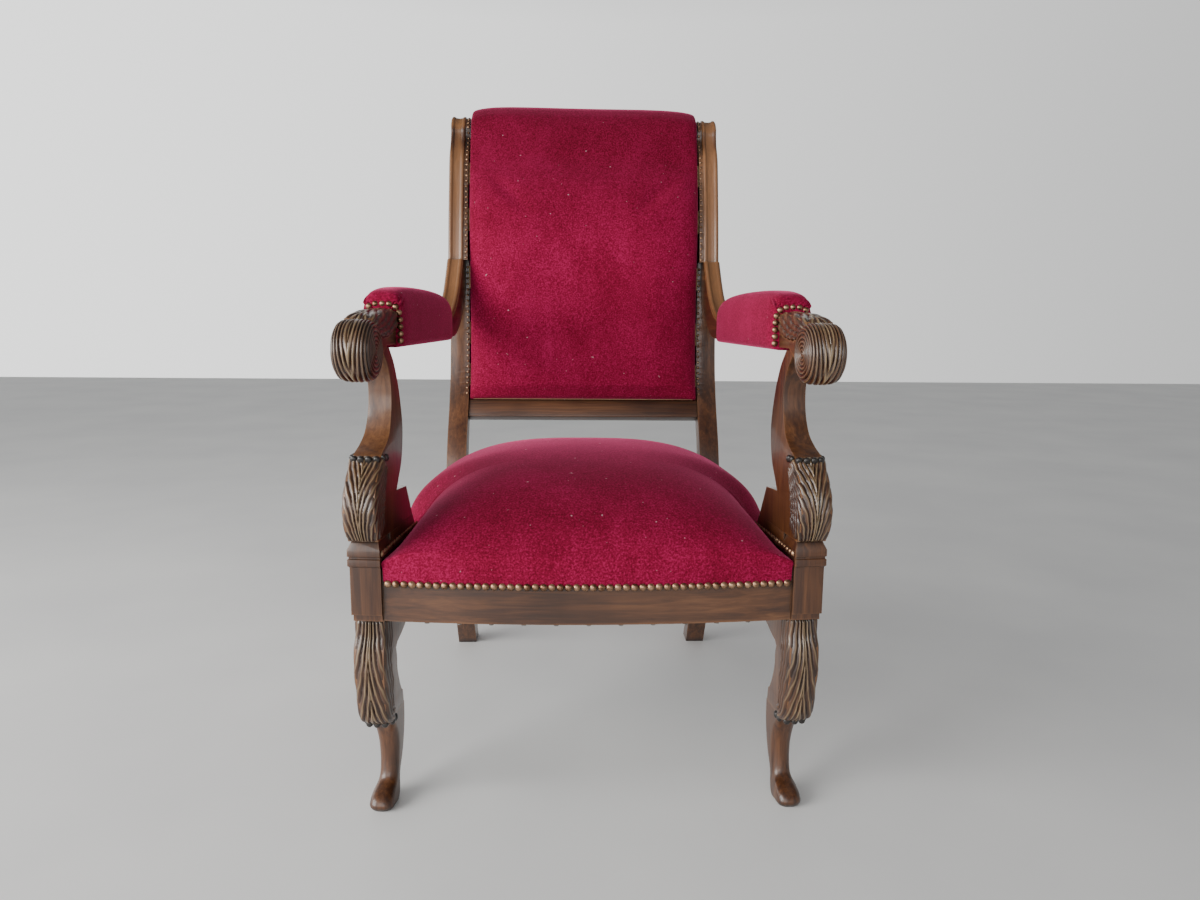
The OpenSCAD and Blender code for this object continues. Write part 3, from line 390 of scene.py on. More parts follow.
def mahogany(name, along, dark=1.0, carved=False):
    """Old polished mahogany: grain runs along the axis named by along, and edges and high places are worn;
    carved crests also get a painted highlight, and carved furrows and crevices get painted shade.
    """
    fine = {"x": (9, 230, 230), "y": (230, 9, 230), "z": (230, 230, 9)}[along]
    finish = Finish(name, Specular_IOR_Level=0.5, Coat_Roughness=0.17, Coat_IOR=1.45)
    grain = finish.noise(1.0, 5.0, finish.place(fine), 0.62, 0.8)
    streak = finish.noise(0.22, 4.0, finish.place(fine), 0.55, 1.4)
    cloud = finish.noise(7.0, 3.0)
    pores = finish.noise(2.6, 2.0, finish.place(fine), 0.7)
    tone = (grain * 0.55 + streak * 0.55 + cloud * 0.45 - 0.275).clamped()
    colour = finish.ramp(tone, [
        (0.24, tuple(c * dark for c in (0.014, 0.0045, 0.0018))),
        (0.42, tuple(c * dark for c in (0.046, 0.0150, 0.0050))),
        (0.58, tuple(c * dark for c in (0.098, 0.0350, 0.0110))),
        (0.78, tuple(c * dark for c in (0.180, 0.0740, 0.0260)))])
    if carved:
        wear = finish.node("Attribute", output=2, settings={"attribute_name": "wear"})
        patch = finish.noise(60.0, 3.0)
        # Crests are lightened towards a pale brown: partly real wear, partly painted highlight.
        worn_and_highlit = (wear * 1.9 - 1.42 + patch * 0.6).clamped()
        # Painted shade: furrows, where the wear value is low, are darkened towards black.
        furrow_shade = finish.blend((1.15 - wear * 3.2).clamped(), colour, (0.008, 0.0045, 0.0028, 1))
        colour = finish.blend(worn_and_highlit, furrow_shade, (0.26, 0.18, 0.095, 1))
        finish.feed("Roughness", 0.5 - wear * 0.14)
    else:
        solid = finish.node("AmbientOcclusion", output=1, settings={"samples": 5, "inside": True},
                            Distance=0.005)
        worn_and_highlit = ((0.80 - solid) * 1.8 + (cloud - 0.5) * 0.9).clamped() * 0.5
        colour = finish.blend(worn_and_highlit, colour, (0.30, 0.135, 0.050, 1))
        finish.feed("Roughness", 0.36 + cloud * 0.22 - grain * 0.08)
    # Painted shade: crevices, grooves and joins between parts are darkened towards black by ambient
    # occlusion.
    open_air = finish.node("AmbientOcclusion", output=1, settings={"samples": 6}, Distance=0.012)
    crevice_shade = (0.92 - open_air).clamped() * 1.3
    colour = finish.blend(crevice_shade.clamped(), colour, (0.010, 0.0055, 0.0035, 1))
    finish.feed("Base Color", colour)
    finish.feed("Coat Weight", (cloud * 1.1 + 0.1).clamped() * 0.75)
    finish.relief(grain * 0.5 + pores * 0.5, 0.16, 0.0006)
    return finish.material


def velvet_finish(name):
    """Cotton velvet whose pile is brushed up and down in soft patches, with painted shade on the seat's crown
    and the top of the back.
    """
    finish = Finish(name, Roughness=0.92, Specular_IOR_Level=0.10, Sheen_Weight=0.55, Sheen_Roughness=0.36,
                    Sheen_Tint=(1.0, 0.16, 0.36, 1))
    broad = finish.noise(5.5, 4.0, None, 0.55, 0.8)
    brushed = finish.noise(26.0, 4.0, finish.place((1.0, 1.0, 0.45)), 0.6, 0.5)
    pile = finish.noise(420.0, 3.0, None, 0.7)
    thread = finish.noise(1500.0, 1.0)
    tone = (broad * 0.36 + brushed * 0.26 + pile * 1.3 - 0.46).clamped()
    colour = finish.ramp(tone, [
        (0.30, (0.120, 0.0020, 0.014)),
        (0.50, (0.205, 0.0040, 0.030)),
        (0.70, (0.330, 0.0100, 0.068))])
    lint = ((finish.noise(210.0, 0.0) - 0.845) * 16.0).clamped() * 0.6
    # Painted shade: the seat's crown and the top of the back, which face up, are darkened by height.
    height = finish.node("SeparateXYZ", output=2, Vector=finish.place())
    top_shade = finish.ramp(height, [(0.36, (1, 1, 1)), (0.43, (0.66, 0.60, 0.62)), (0.50, (1, 1, 1)),
                               (0.76, (1, 1, 1)), (0.93, (0.60, 0.52, 0.54))])
    colour = finish.blend(1.0, colour, top_shade, "MULTIPLY")
    finish.feed("Base Color", finish.blend(lint, colour, (0.55, 0.36, 0.40, 1)))
    finish.relief(brushed * 0.45 + pile * 0.4 + thread * 0.15, 0.35, 0.0016)
    return finish.material


def plain_weave(name, low, high, scale):
    finish = Finish(name, Roughness=0.95, Specular_IOR_Level=0.1, Sheen_Weight=0.2)
    over = finish.node("TexWave", output=1, settings={"bands_direction": "X"}, Vector=finish.place(),
                       Scale=scale, Distortion=0.6, Detail=1.0)
    under = finish.node("TexWave", output=1, settings={"bands_direction": "Y"}, Vector=finish.place(),
                        Scale=scale, Distortion=0.6, Detail=1.0)
    weave = over * 0.5 + under * 0.5
    tint = finish.noise(18.0, 4.0)
    finish.feed("Base Color", finish.ramp((weave * 0.6 + tint * 0.4).clamped(), [(0.2, low), (0.8, high)]))
    finish.relief(weave, 0.4, 0.0006)
    return finish.material


def worn_metal(name, low, high, rough):
    finish = Finish(name, Specular_IOR_Level=0.5)
    patch = finish.noise(90.0, 4.0, None, 0.6)
    spots = finish.noise(420.0, 2.0)
    finish.feed("Base Color", finish.ramp((patch * 0.7 + spots * 0.3).clamped(), [(0.35, low), (0.62, high)]))
    finish.feed("Roughness", rough + patch * 0.25)
    finish.feed("Metallic", (1.25 - patch * 0.6).clamped())
    finish.relief(spots, 0.2, 0.0003)
    return finish.material


def raw_beech(name):
    finish = Finish(name, Roughness=0.7, Specular_IOR_Level=0.3)
    grain = finish.noise(1.0, 5.0, finish.place((4, 60, 60)), 0.6, 0.4)
    finish.feed("Base Color", finish.ramp(grain, [(0.3, (0.16, 0.085, 0.04)), (0.7, (0.34, 0.20, 0.10))]))
    finish.relief(grain, 0.2, 0.0006)
    return finish.material


WOOD_UP = mahogany("mahogany_upright", "z")
WOOD_ACROSS = mahogany("mahogany_crosswise", "x", 0.9)
WOOD_BACK = mahogany("mahogany_lengthwise", "y", 0.95)
WOOD_CARVED = mahogany("mahogany_carved", "z", 0.75, carved=True)
VELVET = velvet_finish("crimson_velvet")
BRASS = worn_metal("aged_brass", (0.12, 0.060, 0.032), (0.42, 0.26, 0.16), 0.24)
STEEL = worn_metal("old_steel", (0.16, 0.15, 0.14), (0.42, 0.41, 0.40), 0.3)
BEECH = raw_beech("raw_beech")
JUTE = plain_weave("jute_webbing", (0.22, 0.14, 0.06), (0.50, 0.36, 0.19), 160.0)
LINING = plain_weave("black_lining", (0.012, 0.012, 0.013), (0.05, 0.048, 0.05), 260.0)


# ---------- wooden frame ----------

def carved_leaf(name, path, place, half_width, side_depth, furrows, sweep, curl, tip_at_end=True):
    """A leaf carved round the front of a member: furrows leave its stem and sweep out to a curled tip."""
    rows, cols, corner = len(path), 150, 7.0
    flat = half_width - corner
    bend = corner * math.pi / 2

    def around(u, reach):
        """Where the leaf lies at u, -1 to 1 across: x, depth behind the front, and the normal's shares."""
        run, sign = abs(u) * (flat + bend + reach), 1 if u > 0 else -1
        if run < flat:
            return sign * run, 0.0, 0.0, 1.0
        if run < flat + bend:
            a = (run - flat) / corner
            return (sign * (flat + corner * math.sin(a)), corner * (1 - math.cos(a)),
                    sign * math.sin(a), math.cos(a))
        return sign * half_width, corner + run - flat - bend, sign, 0.0

    top, under, wear = [], [], []
    for i, (y, z, ny, nz) in enumerate(path):
        t = i / (rows - 1) if tip_at_end else 1 - i / (rows - 1)
        scallop = 1 - 0.10 * abs(math.sin(7 * math.pi * t)) * smooth(t / 0.2)
        reach = side_depth * math.sin(math.pi * (0.2 + 0.66 * t)) * scallop
        tip = smooth((t - 0.87) / 0.13)
        line, low, worn_and_highlit = [], [], []
        for j in range(cols + 1):
            u = -1 + 2 * j / cols
            v = abs(u)
            x, back, nx, forward = around(u, reach)
            phase = furrows * v ** 0.8 * (1.12 - 0.12 * t) - sweep * t ** 1.7 + 0.35 * math.sin(5 * v + 3 * t)
            groove = ridge(phase)
            crest = abs(math.sin(math.pi * phase)) ** 9
            stem = math.exp(-(v / 0.045) ** 2) + 0.55 * math.exp(-((v - 0.12) / 0.03) ** 2)
            edge = smooth((1 - v) / 0.05)
            start = smooth(t / 0.04)
            lobe = 0.35 + 0.65 * abs(math.cos(3.5 * math.pi * u)) ** 0.7
            height = (0.5 + 2.1 * groove * (1 - 0.7 * tip) + 1.3 * stem) * edge * start
            height += curl * tip * lobe * smooth((1.015 - t) / 0.06) - 0.8 * (1 - edge)
            out = height * forward - back
            line.append(place(x + nx * height, y + ny * out, z + nz * out))
            inner_x, inner_back, _, _ = around(u * 0.97, reach)
            low.append(place(inner_x * 0.8, y - ny * (inner_back + 3.5), z - nz * (inner_back + 3.5)))
            # Wear value: real wear on crests and the stem, plus a painted highlight on crests that face front
            # and on the lobes' tops; furrows stay low for painted shade.
            worn_and_highlit.append(clamp(0.12 + 0.3 * groove + (0.55 * crest + 0.5 * stem) * (0.35 + 0.65 * forward)
                              + 0.2 * tip * lobe))
        top.append(line)
        under.append(low)
        wear.append(worn_and_highlit)
    return smooth_shaded(shell_between(name, top, under, wear), 60)


# Fronts of the carved members, as y and z, upwards
KNEE_FRONT = [(34, 122), (16, 131), (9, 151), (4, 179), (1, 205), (4, 229), (10, 245), (12, 267)]
SUPPORT_FRONT = [(-2, 368), (-11, 384), (-15, 400), (-14, 416), (-7, 434), (7, 453), (22, 469),
                 (42, 478), (61, 491)]

# Down the leg: front and back of the outline, half width, and how round the front and back corners are
LEG_STATIONS = [
    ((34, 122), (93, 122), 15.1, 2.0, 1.2), ((47, 112), (94, 108), 14.9, 5.0, 1.3),
    ((56, 97), (94.5, 92), 14.4, 9.0, 1.6), ((61, 78), (93, 74), 13.8, 11.5, 2.0),
    ((62, 62), (90, 58), 13.2, 12.0, 2.4), ((61, 48), (86, 45), 12.6, 11.8, 3.0),
    ((57, 33), (80, 32), 12.2, 11.5, 4.0), ((50, 26), (76, 22), 12.7, 11.5, 5.0),
    ((38, 22.5), (71, 13), 14.2, 12.0, 5.0), ((27, 17), (65, 6), 15.4, 12.5, 5.0),
    ((21.5, 10), (60, 2.5), 15.8, 12.5, 4.5), ((21.5, 5), (57, 0.6), 15.4, 12.0, 4.0),
    ((24.5, 0.6), (54, 0), 13.8, 11.0, 4.0)]

# Where the lobes at the end of a leaf stand: across the member, and behind its front
KNEE_LOBES = [(-10, 0), (0, -1), (10, 0), (17, 9), (-17, 9), (17.5, 18), (-17.5, 18)]
SUPPORT_LOBES = [(-13.8, 1), (-4.7, -1), (4.7, -1), (13.8, 1), (19.5, 10), (-19.5, 10), (20, 19), (-20, 19)]


def rounded_section(depth, half, front, back):
    """Points round a section whose front and back corners differ, as across and how far from the front."""
    front, back = min(front, half - 0.3, depth / 2), min(back, half - 0.3, depth / 2)
    quarter = [math.radians(90 * k / 10) for k in range(11)]
    right = [(half - front + front * math.sin(a), front - front * math.cos(a)) for a in quarter]
    right += [(half - back + back * math.cos(a), depth - back + back * math.sin(a)) for a in quarter]
    return right + [(-x, d) for x, d in reversed(right)]


def lower_leg(name, place):
    """The leg below its leaf: round in front, square behind, thin at the ankle and round again at the toe."""
    rings = []
    for fy, fz, by, bz, half, front, back in curve_line([(*f, *b, *rest) for f, b, *rest in LEG_STATIONS], 6):
        depth = math.dist((fy, fz), (by, bz))
        rings.append([place(x, mix(fy, by, d / depth), mix(fz, bz, d / depth))
                      for x, d in rounded_section(depth, half, front, back)])
    return smooth_shaded(lofted(name, rings), 50)


def cut_below(piece, z):
    """Cuts a piece off level at a height and closes it."""
    choose(piece)
    bpy.ops.object.mode_set(mode="EDIT")
    bpy.ops.mesh.select_all(action="SELECT")
    bpy.ops.mesh.bisect(plane_co=(0, 0, z * MM), plane_no=(0, 0, 1), use_fill=True, clear_inner=True)
    bpy.ops.object.mode_set(mode="OBJECT")
    return piece


def joined(first, *others):
    """One object of several."""
    choose(first)
    for other in others:
        other.select_set(True)
    bpy.ops.object.join()
    return first


def curled_tips(name, place, half, depths, y, z, radius, lean):
    """The small curled lobes in a row round the end of a leaf."""
    lobes = []
    for x, back in depths:
        bpy.ops.mesh.primitive_uv_sphere_add(segments=20, ring_count=12, radius=radius * MM)
        lobe = bpy.context.object
        lobe.scale = (0.80 if abs(x) < half else 0.6, 0.95, 0.80)
        lobe.rotation_euler = (lean, 0, 0)
        lobe.location = place(x, y + back, z)
        settle(lobe)
        for vertex in lobe.data.vertices:
            off = vertex.co - place(x, y + back - radius * 0.55, z - radius * 0.1)
            dent = math.exp(-(off.length / (0.45 * radius * MM)) ** 2)
            vertex.co.y += 0.5 * radius * MM * dent
        lobes.append(lobe)
    first = joined(lobes[0], *lobes[1:])
    first.name = name
    return smooth_shaded(first, 60)


for side, word in SIDES:
    leg = cut_below(eased("front_leg_" + word, "carved_leg_" + word, 0.7, 2.0, RAIL_BOTTOM - 2), 121.6)
    finished(leg, WOOD_UP, "frame_wood", "front_leg_" + word)
    finished(lower_leg("lower_leg_" + word, on_side(side)), WOOD_UP, "frame_wood")
    finished(curled_tips("knee_lobes_" + word, on_side(side), 15, KNEE_LOBES, 26, 122, 6.0, 0.5),
             WOOD_CARVED, "frame_wood")
    knee = even_line(curve_line(KNEE_FRONT, 8), 110)
    finished(carved_leaf("knee_leaf_" + word, knee, on_side(side), 18.6, 26, 6.6, 3.0, 3.0, tip_at_end=False),
             WOOD_CARVED, "frame_wood")
    finished(eased("arm_support_" + word, "arm_scroll_support_" + word, 5.0), WOOD_UP, "frame_wood",
             "arm_support_" + word)
    breast = even_line(curve_line(SUPPORT_FRONT, 8)[:48], 110)
    finished(curled_tips("support_lobes_" + word, on_side(side), 15, SUPPORT_LOBES, 14, 465, 5.8, -0.5),
             WOOD_CARVED, "frame_wood")
    finished(carved_leaf("support_leaf_" + word, breast, on_side(side), 19.6, 30, 8.2, 4.2, 3.0),
             WOOD_CARVED, "frame_wood")
    finished(eased("rear_post_" + word, "back_post_" + word, 1.8, 4.0, RAIL_BOTTOM), WOOD_UP, "frame_wood",
             "rear_post_" + word)
    arm = eased("arm_rail_" + word, "arm_" + word, 4.5)
    drum = on_arm(side)(0, 0, SCROLL_Z)
    for vertex in arm.data.vertices:
        if (vertex.co - drum).yz.length < (SCROLL_R + 1.5) * MM:
            vertex.co = drum + (vertex.co - drum) * 0.70
    finished(arm, WOOD_BACK, "frame_wood", "arm_rail_" + word)
    finished(eased("side_seat_rail_" + word, "side_rail_" + word, 0.8), WOOD_BACK, "frame_wood",
             "side_seat_rail_" + word)


def volute(name, place):
    """The scroll at the end of an arm: ridges wind from an eye on each face, over the edge, to a stem."""
    turns, steps = 150, 130
    edge, half, radius = 11.0, SCROLL_W / 2 + 1.2, SCROLL_R + 1.6
    face, bend, flat = radius - edge, edge * math.pi / 2, half - edge
    whole = face + bend + flat

    def profile(run):
        """Across x, radius and the outward normal, run millimetres from the eye towards the stem."""
        if run < face:
            return half, run, 1.0, 0.0
        if run < face + bend:
            a = (run - face) / edge
            return flat + edge * math.cos(a), face + edge * math.sin(a), math.cos(a), math.sin(a)
        return half - edge - (run - face - bend), radius, 0.0, 1.0

    points, wear = [], []
    for k in range(turns):
        a = 2 * math.pi * k / turns
        for j in range(2 * steps + 1):
            side = 1 if j < steps else -1
            share = (j if j <= steps else 2 * steps - j) / steps
            run = share * whole
            x, r, nx, nr = profile(run)
            over = smooth((run - face) / (whole - face))
            phase = 10.5 * share ** 0.9 + a / (2 * math.pi) + 1.4 * over * math.sin(a - 0.6)
            groove = ridge(phase)
            crest = abs(math.sin(math.pi * phase)) ** 9
            away = (whole - run) / half
            stem = math.exp(-(away / 0.09) ** 2) + 0.7 * math.exp(-((away - 0.24) / 0.06) ** 2)
            eye = 1 - smooth(share / 0.07)
            height = -2.1 + 2.1 * groove * (1 - eye) + 1.2 * stem + 2.0 * eye
            points.append(place(side * (x + nx * height), (r + nr * height) * math.cos(a),
                                SCROLL_Z + (r + nr * height) * math.sin(a)))
            # Wear value: real wear on crests and the stem, plus a painted highlight on crests, stronger on
            # the rim than on the flat face; furrows stay low for painted shade.
            wear.append(clamp(0.12 + 0.28 * groove + 0.5 * crest * (0.8 + 0.2 * nr) + 0.6 * stem))
    faces = []
    ring = 2 * steps + 1
    for k in range(turns):
        a, b = k * ring, (k + 1) % turns * ring
        for j in range(ring - 1):
            faces.append((a + j, b + j, b + j + 1, a + j + 1))
    piece = add_mesh(name, points, faces)
    add_wear_and_painted_light(piece, wear)
    return smooth_shaded(outward(piece), 60)


NECK_TOP = [(PAD_Y0 - 2, ARM_Z + 42), (55, ARM_Z + 40), (20, ARM_Z + 35), (4, SCROLL_Z + SCROLL_R - 1)]

for side, word in SIDES:
    finished(volute("arm_volute_" + word, on_arm(side)), WOOD_CARVED, "frame_wood")
    neck = even_line(curve_line(list(reversed(NECK_TOP)), 8), 60)
    finished(carved_leaf("neck_leaf_" + word, neck, on_arm(side), 18.2, 24, 5.0, 2.0, 0.0, tip_at_end=False),
             WOOD_CARVED, "frame_wood")


def beaded_strip(name, path, place, centre, half):
    """A moulded strip along a member: a bead on each edge and a shallow hollow between them."""
    across = [-1 + 2 * k / 22 for k in range(23)]
    bead = 0.26

    def rise(u):
        off = 1 - abs(u)
        if off < 2 * bead:
            return 2.6 * math.sqrt(max(0.0, 1 - ((off - bead) / bead) ** 2)) + 0.2
        return 0.7 - 0.7 * (1 - math.cos(math.pi * min(1, (off - 2 * bead) / (1 - 2 * bead)))) / 2

    top = [[place(centre + half * u, y + ny * rise(u), z + nz * rise(u)) for u in across]
           for y, z, ny, nz in path]
    under = [[place(centre + half * u, y - ny * 3, z - nz * 3) for u in across] for y, z, ny, nz in path]
    return smooth_shaded(shell_between(name, top, under), 50)


MOULDING_HALF = 13.2
POST_FACE = [(553, 733), (566, 805), (579, 859), (595, 917.5), (611, 944), (617, 962)]
ARM_SWEEP = [(424, 632), (461, 634), (495, 650), (521, 672), (541, 698), (555, 720), (563, 733)]

for side, word in SIDES:
    face = even_line(curve_line(POST_FACE, 8) + arc(ROLL_Y, ROLL_Z, ROLL_R, 165, -60, 30), 110)
    finished(beaded_strip("post_moulding_" + word, face, lambda x, y, z, s=side: at(s * x, y, z), ARM_BACK_X,
                          MOULDING_HALF), WOOD_UP, "frame_wood")
    sweep = even_line(curve_line(ARM_SWEEP, 8), 50)
    finished(beaded_strip("arm_moulding_" + word, sweep, on_arm(side), 0, MOULDING_HALF),
             WOOD_UP, "frame_wood")

finished(eased("front_seat_rail", "front_rail", 0.9, flat=0.02, shade=0.3), WOOD_ACROSS, "frame_wood",
         "front_seat_rail")
finished(eased("back_lower_rail", "lower_back_rail", 1.6), WOOD_ACROSS, "frame_wood", "back_lower_rail")
PLAIN_FINISHES = (
    (BEECH, ("rear_seat_rail", "back_top_rail", "support_dowels", "arm_dowels", "corner_block_front_left",
             "corner_block_front_right", "corner_block_rear_left", "corner_block_rear_right")),
    (STEEL, ("corner_block_screws", "seat_springs", "seat_bottom_tacks")),
    (JUTE, ("seat_webbing", "spring_twine", "spring_cover", "back_webbing", "back_lining")),
    (BRASS, ("seat_nails", "back_nails", "outer_back_nails", "arm_nails_left", "arm_nails_right")))
for material, nodes in PLAIN_FINISHES:
    for node in nodes:
        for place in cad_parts[node].material_slots:
            place.material = material


# ---------- upholstery ----------

def puffed(piece, held, pressure, cap, frames=20):
    """Blows the padding up as cloth: held, a test of a point, says which points are nailed down."""
    rest = [v.co.copy() for v in piece.data.vertices]
    pins = piece.vertex_groups.new(name="nailed")
    pins.add([v.index for v in piece.data.vertices if held(v.co)], 1.0, "REPLACE")
    cloth = piece.modifiers.new("cloth", "CLOTH")
    cloth.settings.vertex_group_mass = "nailed"
    cloth.settings.use_pressure = True
    cloth.settings.uniform_pressure_force = pressure
    cloth.settings.effector_weights.gravity = 0
    cloth.settings.quality = 5
    cloth.settings.tension_stiffness = 30
    cloth.settings.compression_stiffness = 30
    cloth.settings.bending_stiffness = 2
    cloth.point_cache.frame_start, cloth.point_cache.frame_end = 1, frames
    for k in range(1, frames + 1):
        bpy.context.scene.frame_set(k)
    apply_modifiers(piece)
    bpy.context.scene.frame_set(1)
    for vertex, old in zip(piece.data.vertices, rest):
        move = vertex.co - old
        if move.length > cap * MM:
            vertex.co = old + move.normalized() * cap * MM
    return piece


def subdivided(piece, levels=1):
    modifier = piece.modifiers.new("smoothing", "SUBSURF")
    modifier.levels = modifier.render_levels = levels
    return apply_modifiers(piece)


def side_x(offset, y):
    return LEG_X + offset / math.cos(SKEW) - y * math.tan(SKEW)


FRONT_HALF = LEG_X - BLOCK_W / 2
BOW_R = (FRONT_HALF ** 2 + FRONT_BOW ** 2) / (2 * FRONT_BOW)
SEAT_REAR = SEAT_D + 14 + 22 + COVER + 0.3
DOME_MID = 0.565 * SEAT_D
WIDEN = (PLINTH_END - 5, PLINTH_END + 1)
NARROW = (SEAT_D - 12, SEAT_D - 6)


def bow_y(x):
    return RAIL_SET - FRONT_BOW + BOW_R - math.sqrt(BOW_R ** 2 - x * x)


def seat_half(y):
    inner, outer = side_x(-BLOCK_W / 2 - 0.4, y), side_x(RAIL_OUT + COVER + 0.3, y)
    wide = mix(inner, outer, smooth((y - WIDEN[0]) / (WIDEN[1] - WIDEN[0])))
    return mix(wide, REAR_HALF - 0.4, smooth((y - NARROW[0]) / (NARROW[1] - NARROW[0])))


def dome_half(y):
    return mix(side_x(-BLOCK_W / 2, y), side_x(RAIL_OUT + 3, y), smooth((y - PLINTH_END + 14) / 70)) - GUTTER


def seat_z(x, y):
    reach = DOME_MID + FRONT_BOW if y < DOME_MID else SEAT_D + 40 - DOME_MID
    dome = bump_curve(x / dome_half(y), 3, 0.6) * bump_curve((y - DOME_MID) / reach, 2.4, 0.75)
    return RAIL_TOP + SEAT_EDGE + (CROWN - SEAT_EDGE) * dome


def seat_cushion():
    """The velvet over the seat: a dome, with its edge turned down over the rails."""
    rows = [0, 2, 5, 9, 14, 20, 27, 35, 45, 56] + [68 + 9.5 * k for k in range(10)]
    rows += [WIDEN[0] - 1, WIDEN[0] + 2, WIDEN[1] - 1, WIDEN[1] + 2] + [180 + 10.2 * k for k in range(28)]
    rows += [NARROW[0] - 2, NARROW[0] + 2, NARROW[1] - 1, NARROW[1] + 2, 482, 492, 502, 509, 513, SEAT_REAR]
    cols = [math.sin(math.radians(90 * k / 26)) * 0.5 + k / 26 * 0.5 for k in range(-26, 27)]
    doubled = [cols[0]] + cols + [cols[-1]]

    def skirt(y):
        return RAIL_TOP + (4 if y < WIDEN[1] + 2 or y > NARROW[0] - 3 else -24)

    def plan(u, r):
        x = u * seat_half(r)
        return x, r + (1 - clamp(r / 90)) * (bow_y(x) - COVER - 0.3)

    top = [[at(*plan(u, 0), mix(RAIL_TOP - 15, RAIL_TOP + SEAT_EDGE, f)) for u in doubled]
           for f in (0.0, 0.35, 0.7)]
    for r in rows:
        line = [(*plan(u, r), seat_z(*plan(u, r))) for u in cols]
        low = skirt(r)
        top.append([at(line[0][0] - 0.3, line[0][1], low)] + [at(*p) for p in line]
                   + [at(line[-1][0] + 0.3, line[-1][1], low)])
    edge = [(u * (REAR_HALF - 0.4), SEAT_REAR) for u in doubled]
    top += [[at(x, y, mix(RAIL_TOP - 24, RAIL_TOP + 12, f)) for x, y in edge] for f in (0.6, 0.3, 0.0)]
    middle, lowest, drawn_in = at(0, DOME_MID, 0), (RAIL_TOP - 24) * MM, 0.985

    def beneath(p):
        """The inside of the velvet under p, drawn in a little towards the middle."""
        return Vector((p.x * drawn_in, middle.y + (p.y - middle.y) * drawn_in, max(p.z - 3 * MM, lowest)))

    return shell_between("seat_cushion", top, [[beneath(p) for p in row] for row in top])


seat = seat_cushion()
NAILED_Z = (RAIL_TOP + SEAT_EDGE + 2) * MM
puffed(seat, lambda p: p.z < NAILED_Z, 3.0, 6)
subdivided(smooth_shaded(seat, 70))
finished(seat, VELVET, "velvet", "seat_cover", "seat_stuffing")


def low_z(f):
    return RAIL_TOP + f * (JOINT_Z - RAIL_TOP)


def high_z(f):
    return JOINT_Z + f * (ROLL_Z - JOINT_Z)


BACK_PAD, BACK_HALF = 36, REAR_HALF - 3
BACK_LINE = curve_line([(538, low_z(0.387)), (551, low_z(0.45)), (562, low_z(0.55)), (569, low_z(0.68)),
                        (571, low_z(0.84)), (570, JOINT_Z + 6), (573, high_z(0.32)), (582, high_z(0.56)),
                        (598, high_z(0.82)), (620.6, 975)], 6) + arc(ROLL_Y, ROLL_Z, ROLL_R - 4, 140, -70, 30)


def back_height(u, t):
    lower = BACK_PAD * (0.45 + 0.55 * bump_curve((t - 0.4) / 0.6, 2.6, 0.6))
    middle = mix(lower, 13, smooth((t - 0.56) / 0.14))
    crest = 14 * bump_curve((t - 0.86) / 0.16, 2, 1)
    middle = (middle + crest) * (1 - 0.7 * smooth((t - 0.88) / 0.12))
    edge = 9 - 5 * smooth((t - 0.55) / 0.2) + 0.75 * crest
    dip = 2.5 * smooth((t - 0.7) / 0.1) * bump_curve(u - 0.2, 2, 1)
    return mix(edge, middle, bump_curve(u, 4.5, 0.55)) - dip


def back_cushion():
    """The velvet of the back: a pad between the posts that rolls over the top."""
    path = even_line(BACK_LINE, 110)
    cols = [math.sin(math.radians(90 * k / 24)) * 0.5 + k / 24 * 0.5 for k in range(-24, 25)]
    top, under = [], []
    for i, (y, z, ny, nz) in enumerate(path):
        t = i / (len(path) - 1)
        ends = smooth(t / 0.03)
        line = [(u * BACK_HALF, 1 + (back_height(u, t) - 1) * (0.35 + 0.65 * ends)) for u in cols]
        line = [(-BACK_HALF, 0.5)] + line + [(BACK_HALF, 0.5)]
        top.append([at(x, y + ny * h, z + nz * h) for x, h in line])
        under.append([at(x * 0.985, y - ny * 1.5, z - nz * 1.5) for x, h in line])
    return shell_between("back_cushion", top, under)


back = back_cushion()
puffed(back, lambda p: abs(p.x) > (BACK_HALF - 4) * MM or p.z < 495 * MM or p.y > at(0, 640, 0).y, 2.5, 5)
subdivided(smooth_shaded(back, 70))
finished(back, VELVET, "velvet", "back_cover", "back_stuffing")

OUTER_LINE = curve_line([(574, 458), (574.5, low_z(0.37)), (589, low_z(0.45)), (600, low_z(0.55)),
                         (607, low_z(0.68)), (610, low_z(0.84)), (612, JOINT_Z), (615, high_z(0.32)),
                         (622, high_z(0.56)), (632, high_z(0.74)), (640, ROLL_Z - ROLL_R - 1)], 6)


def outer_back():
    """The outside of the back: velvet drawn over the rear of the posts, a little hollow between them."""
    path = even_line(OUTER_LINE, 60)
    half = REAR_HALF + 8
    cols = [k / 20 for k in range(-20, 21)]
    gap = Vector((0, -0.1 * MM, 0))

    def thick(u):
        return COVER - 1.5 * bump_curve(u, 4, 1)

    sheet = [[at(u * half, y - ny * thick(u), z - nz * thick(u)) for u in cols] for y, z, ny, nz in path]
    under = [[at(u * half, y, z) + gap for u in cols] for y, z, _, _ in path]
    piece = shell_between("outside_back", sheet, under)
    return piece, 2 * half * MM, sum(math.dist(p[:2], q[:2]) for p, q in zip(path, path[1:])) * MM


outside, sheet_w, sheet_l = outer_back()
smooth_shaded(outside, 60)
finished(outside, VELVET, "velvet", "outer_back_cover")


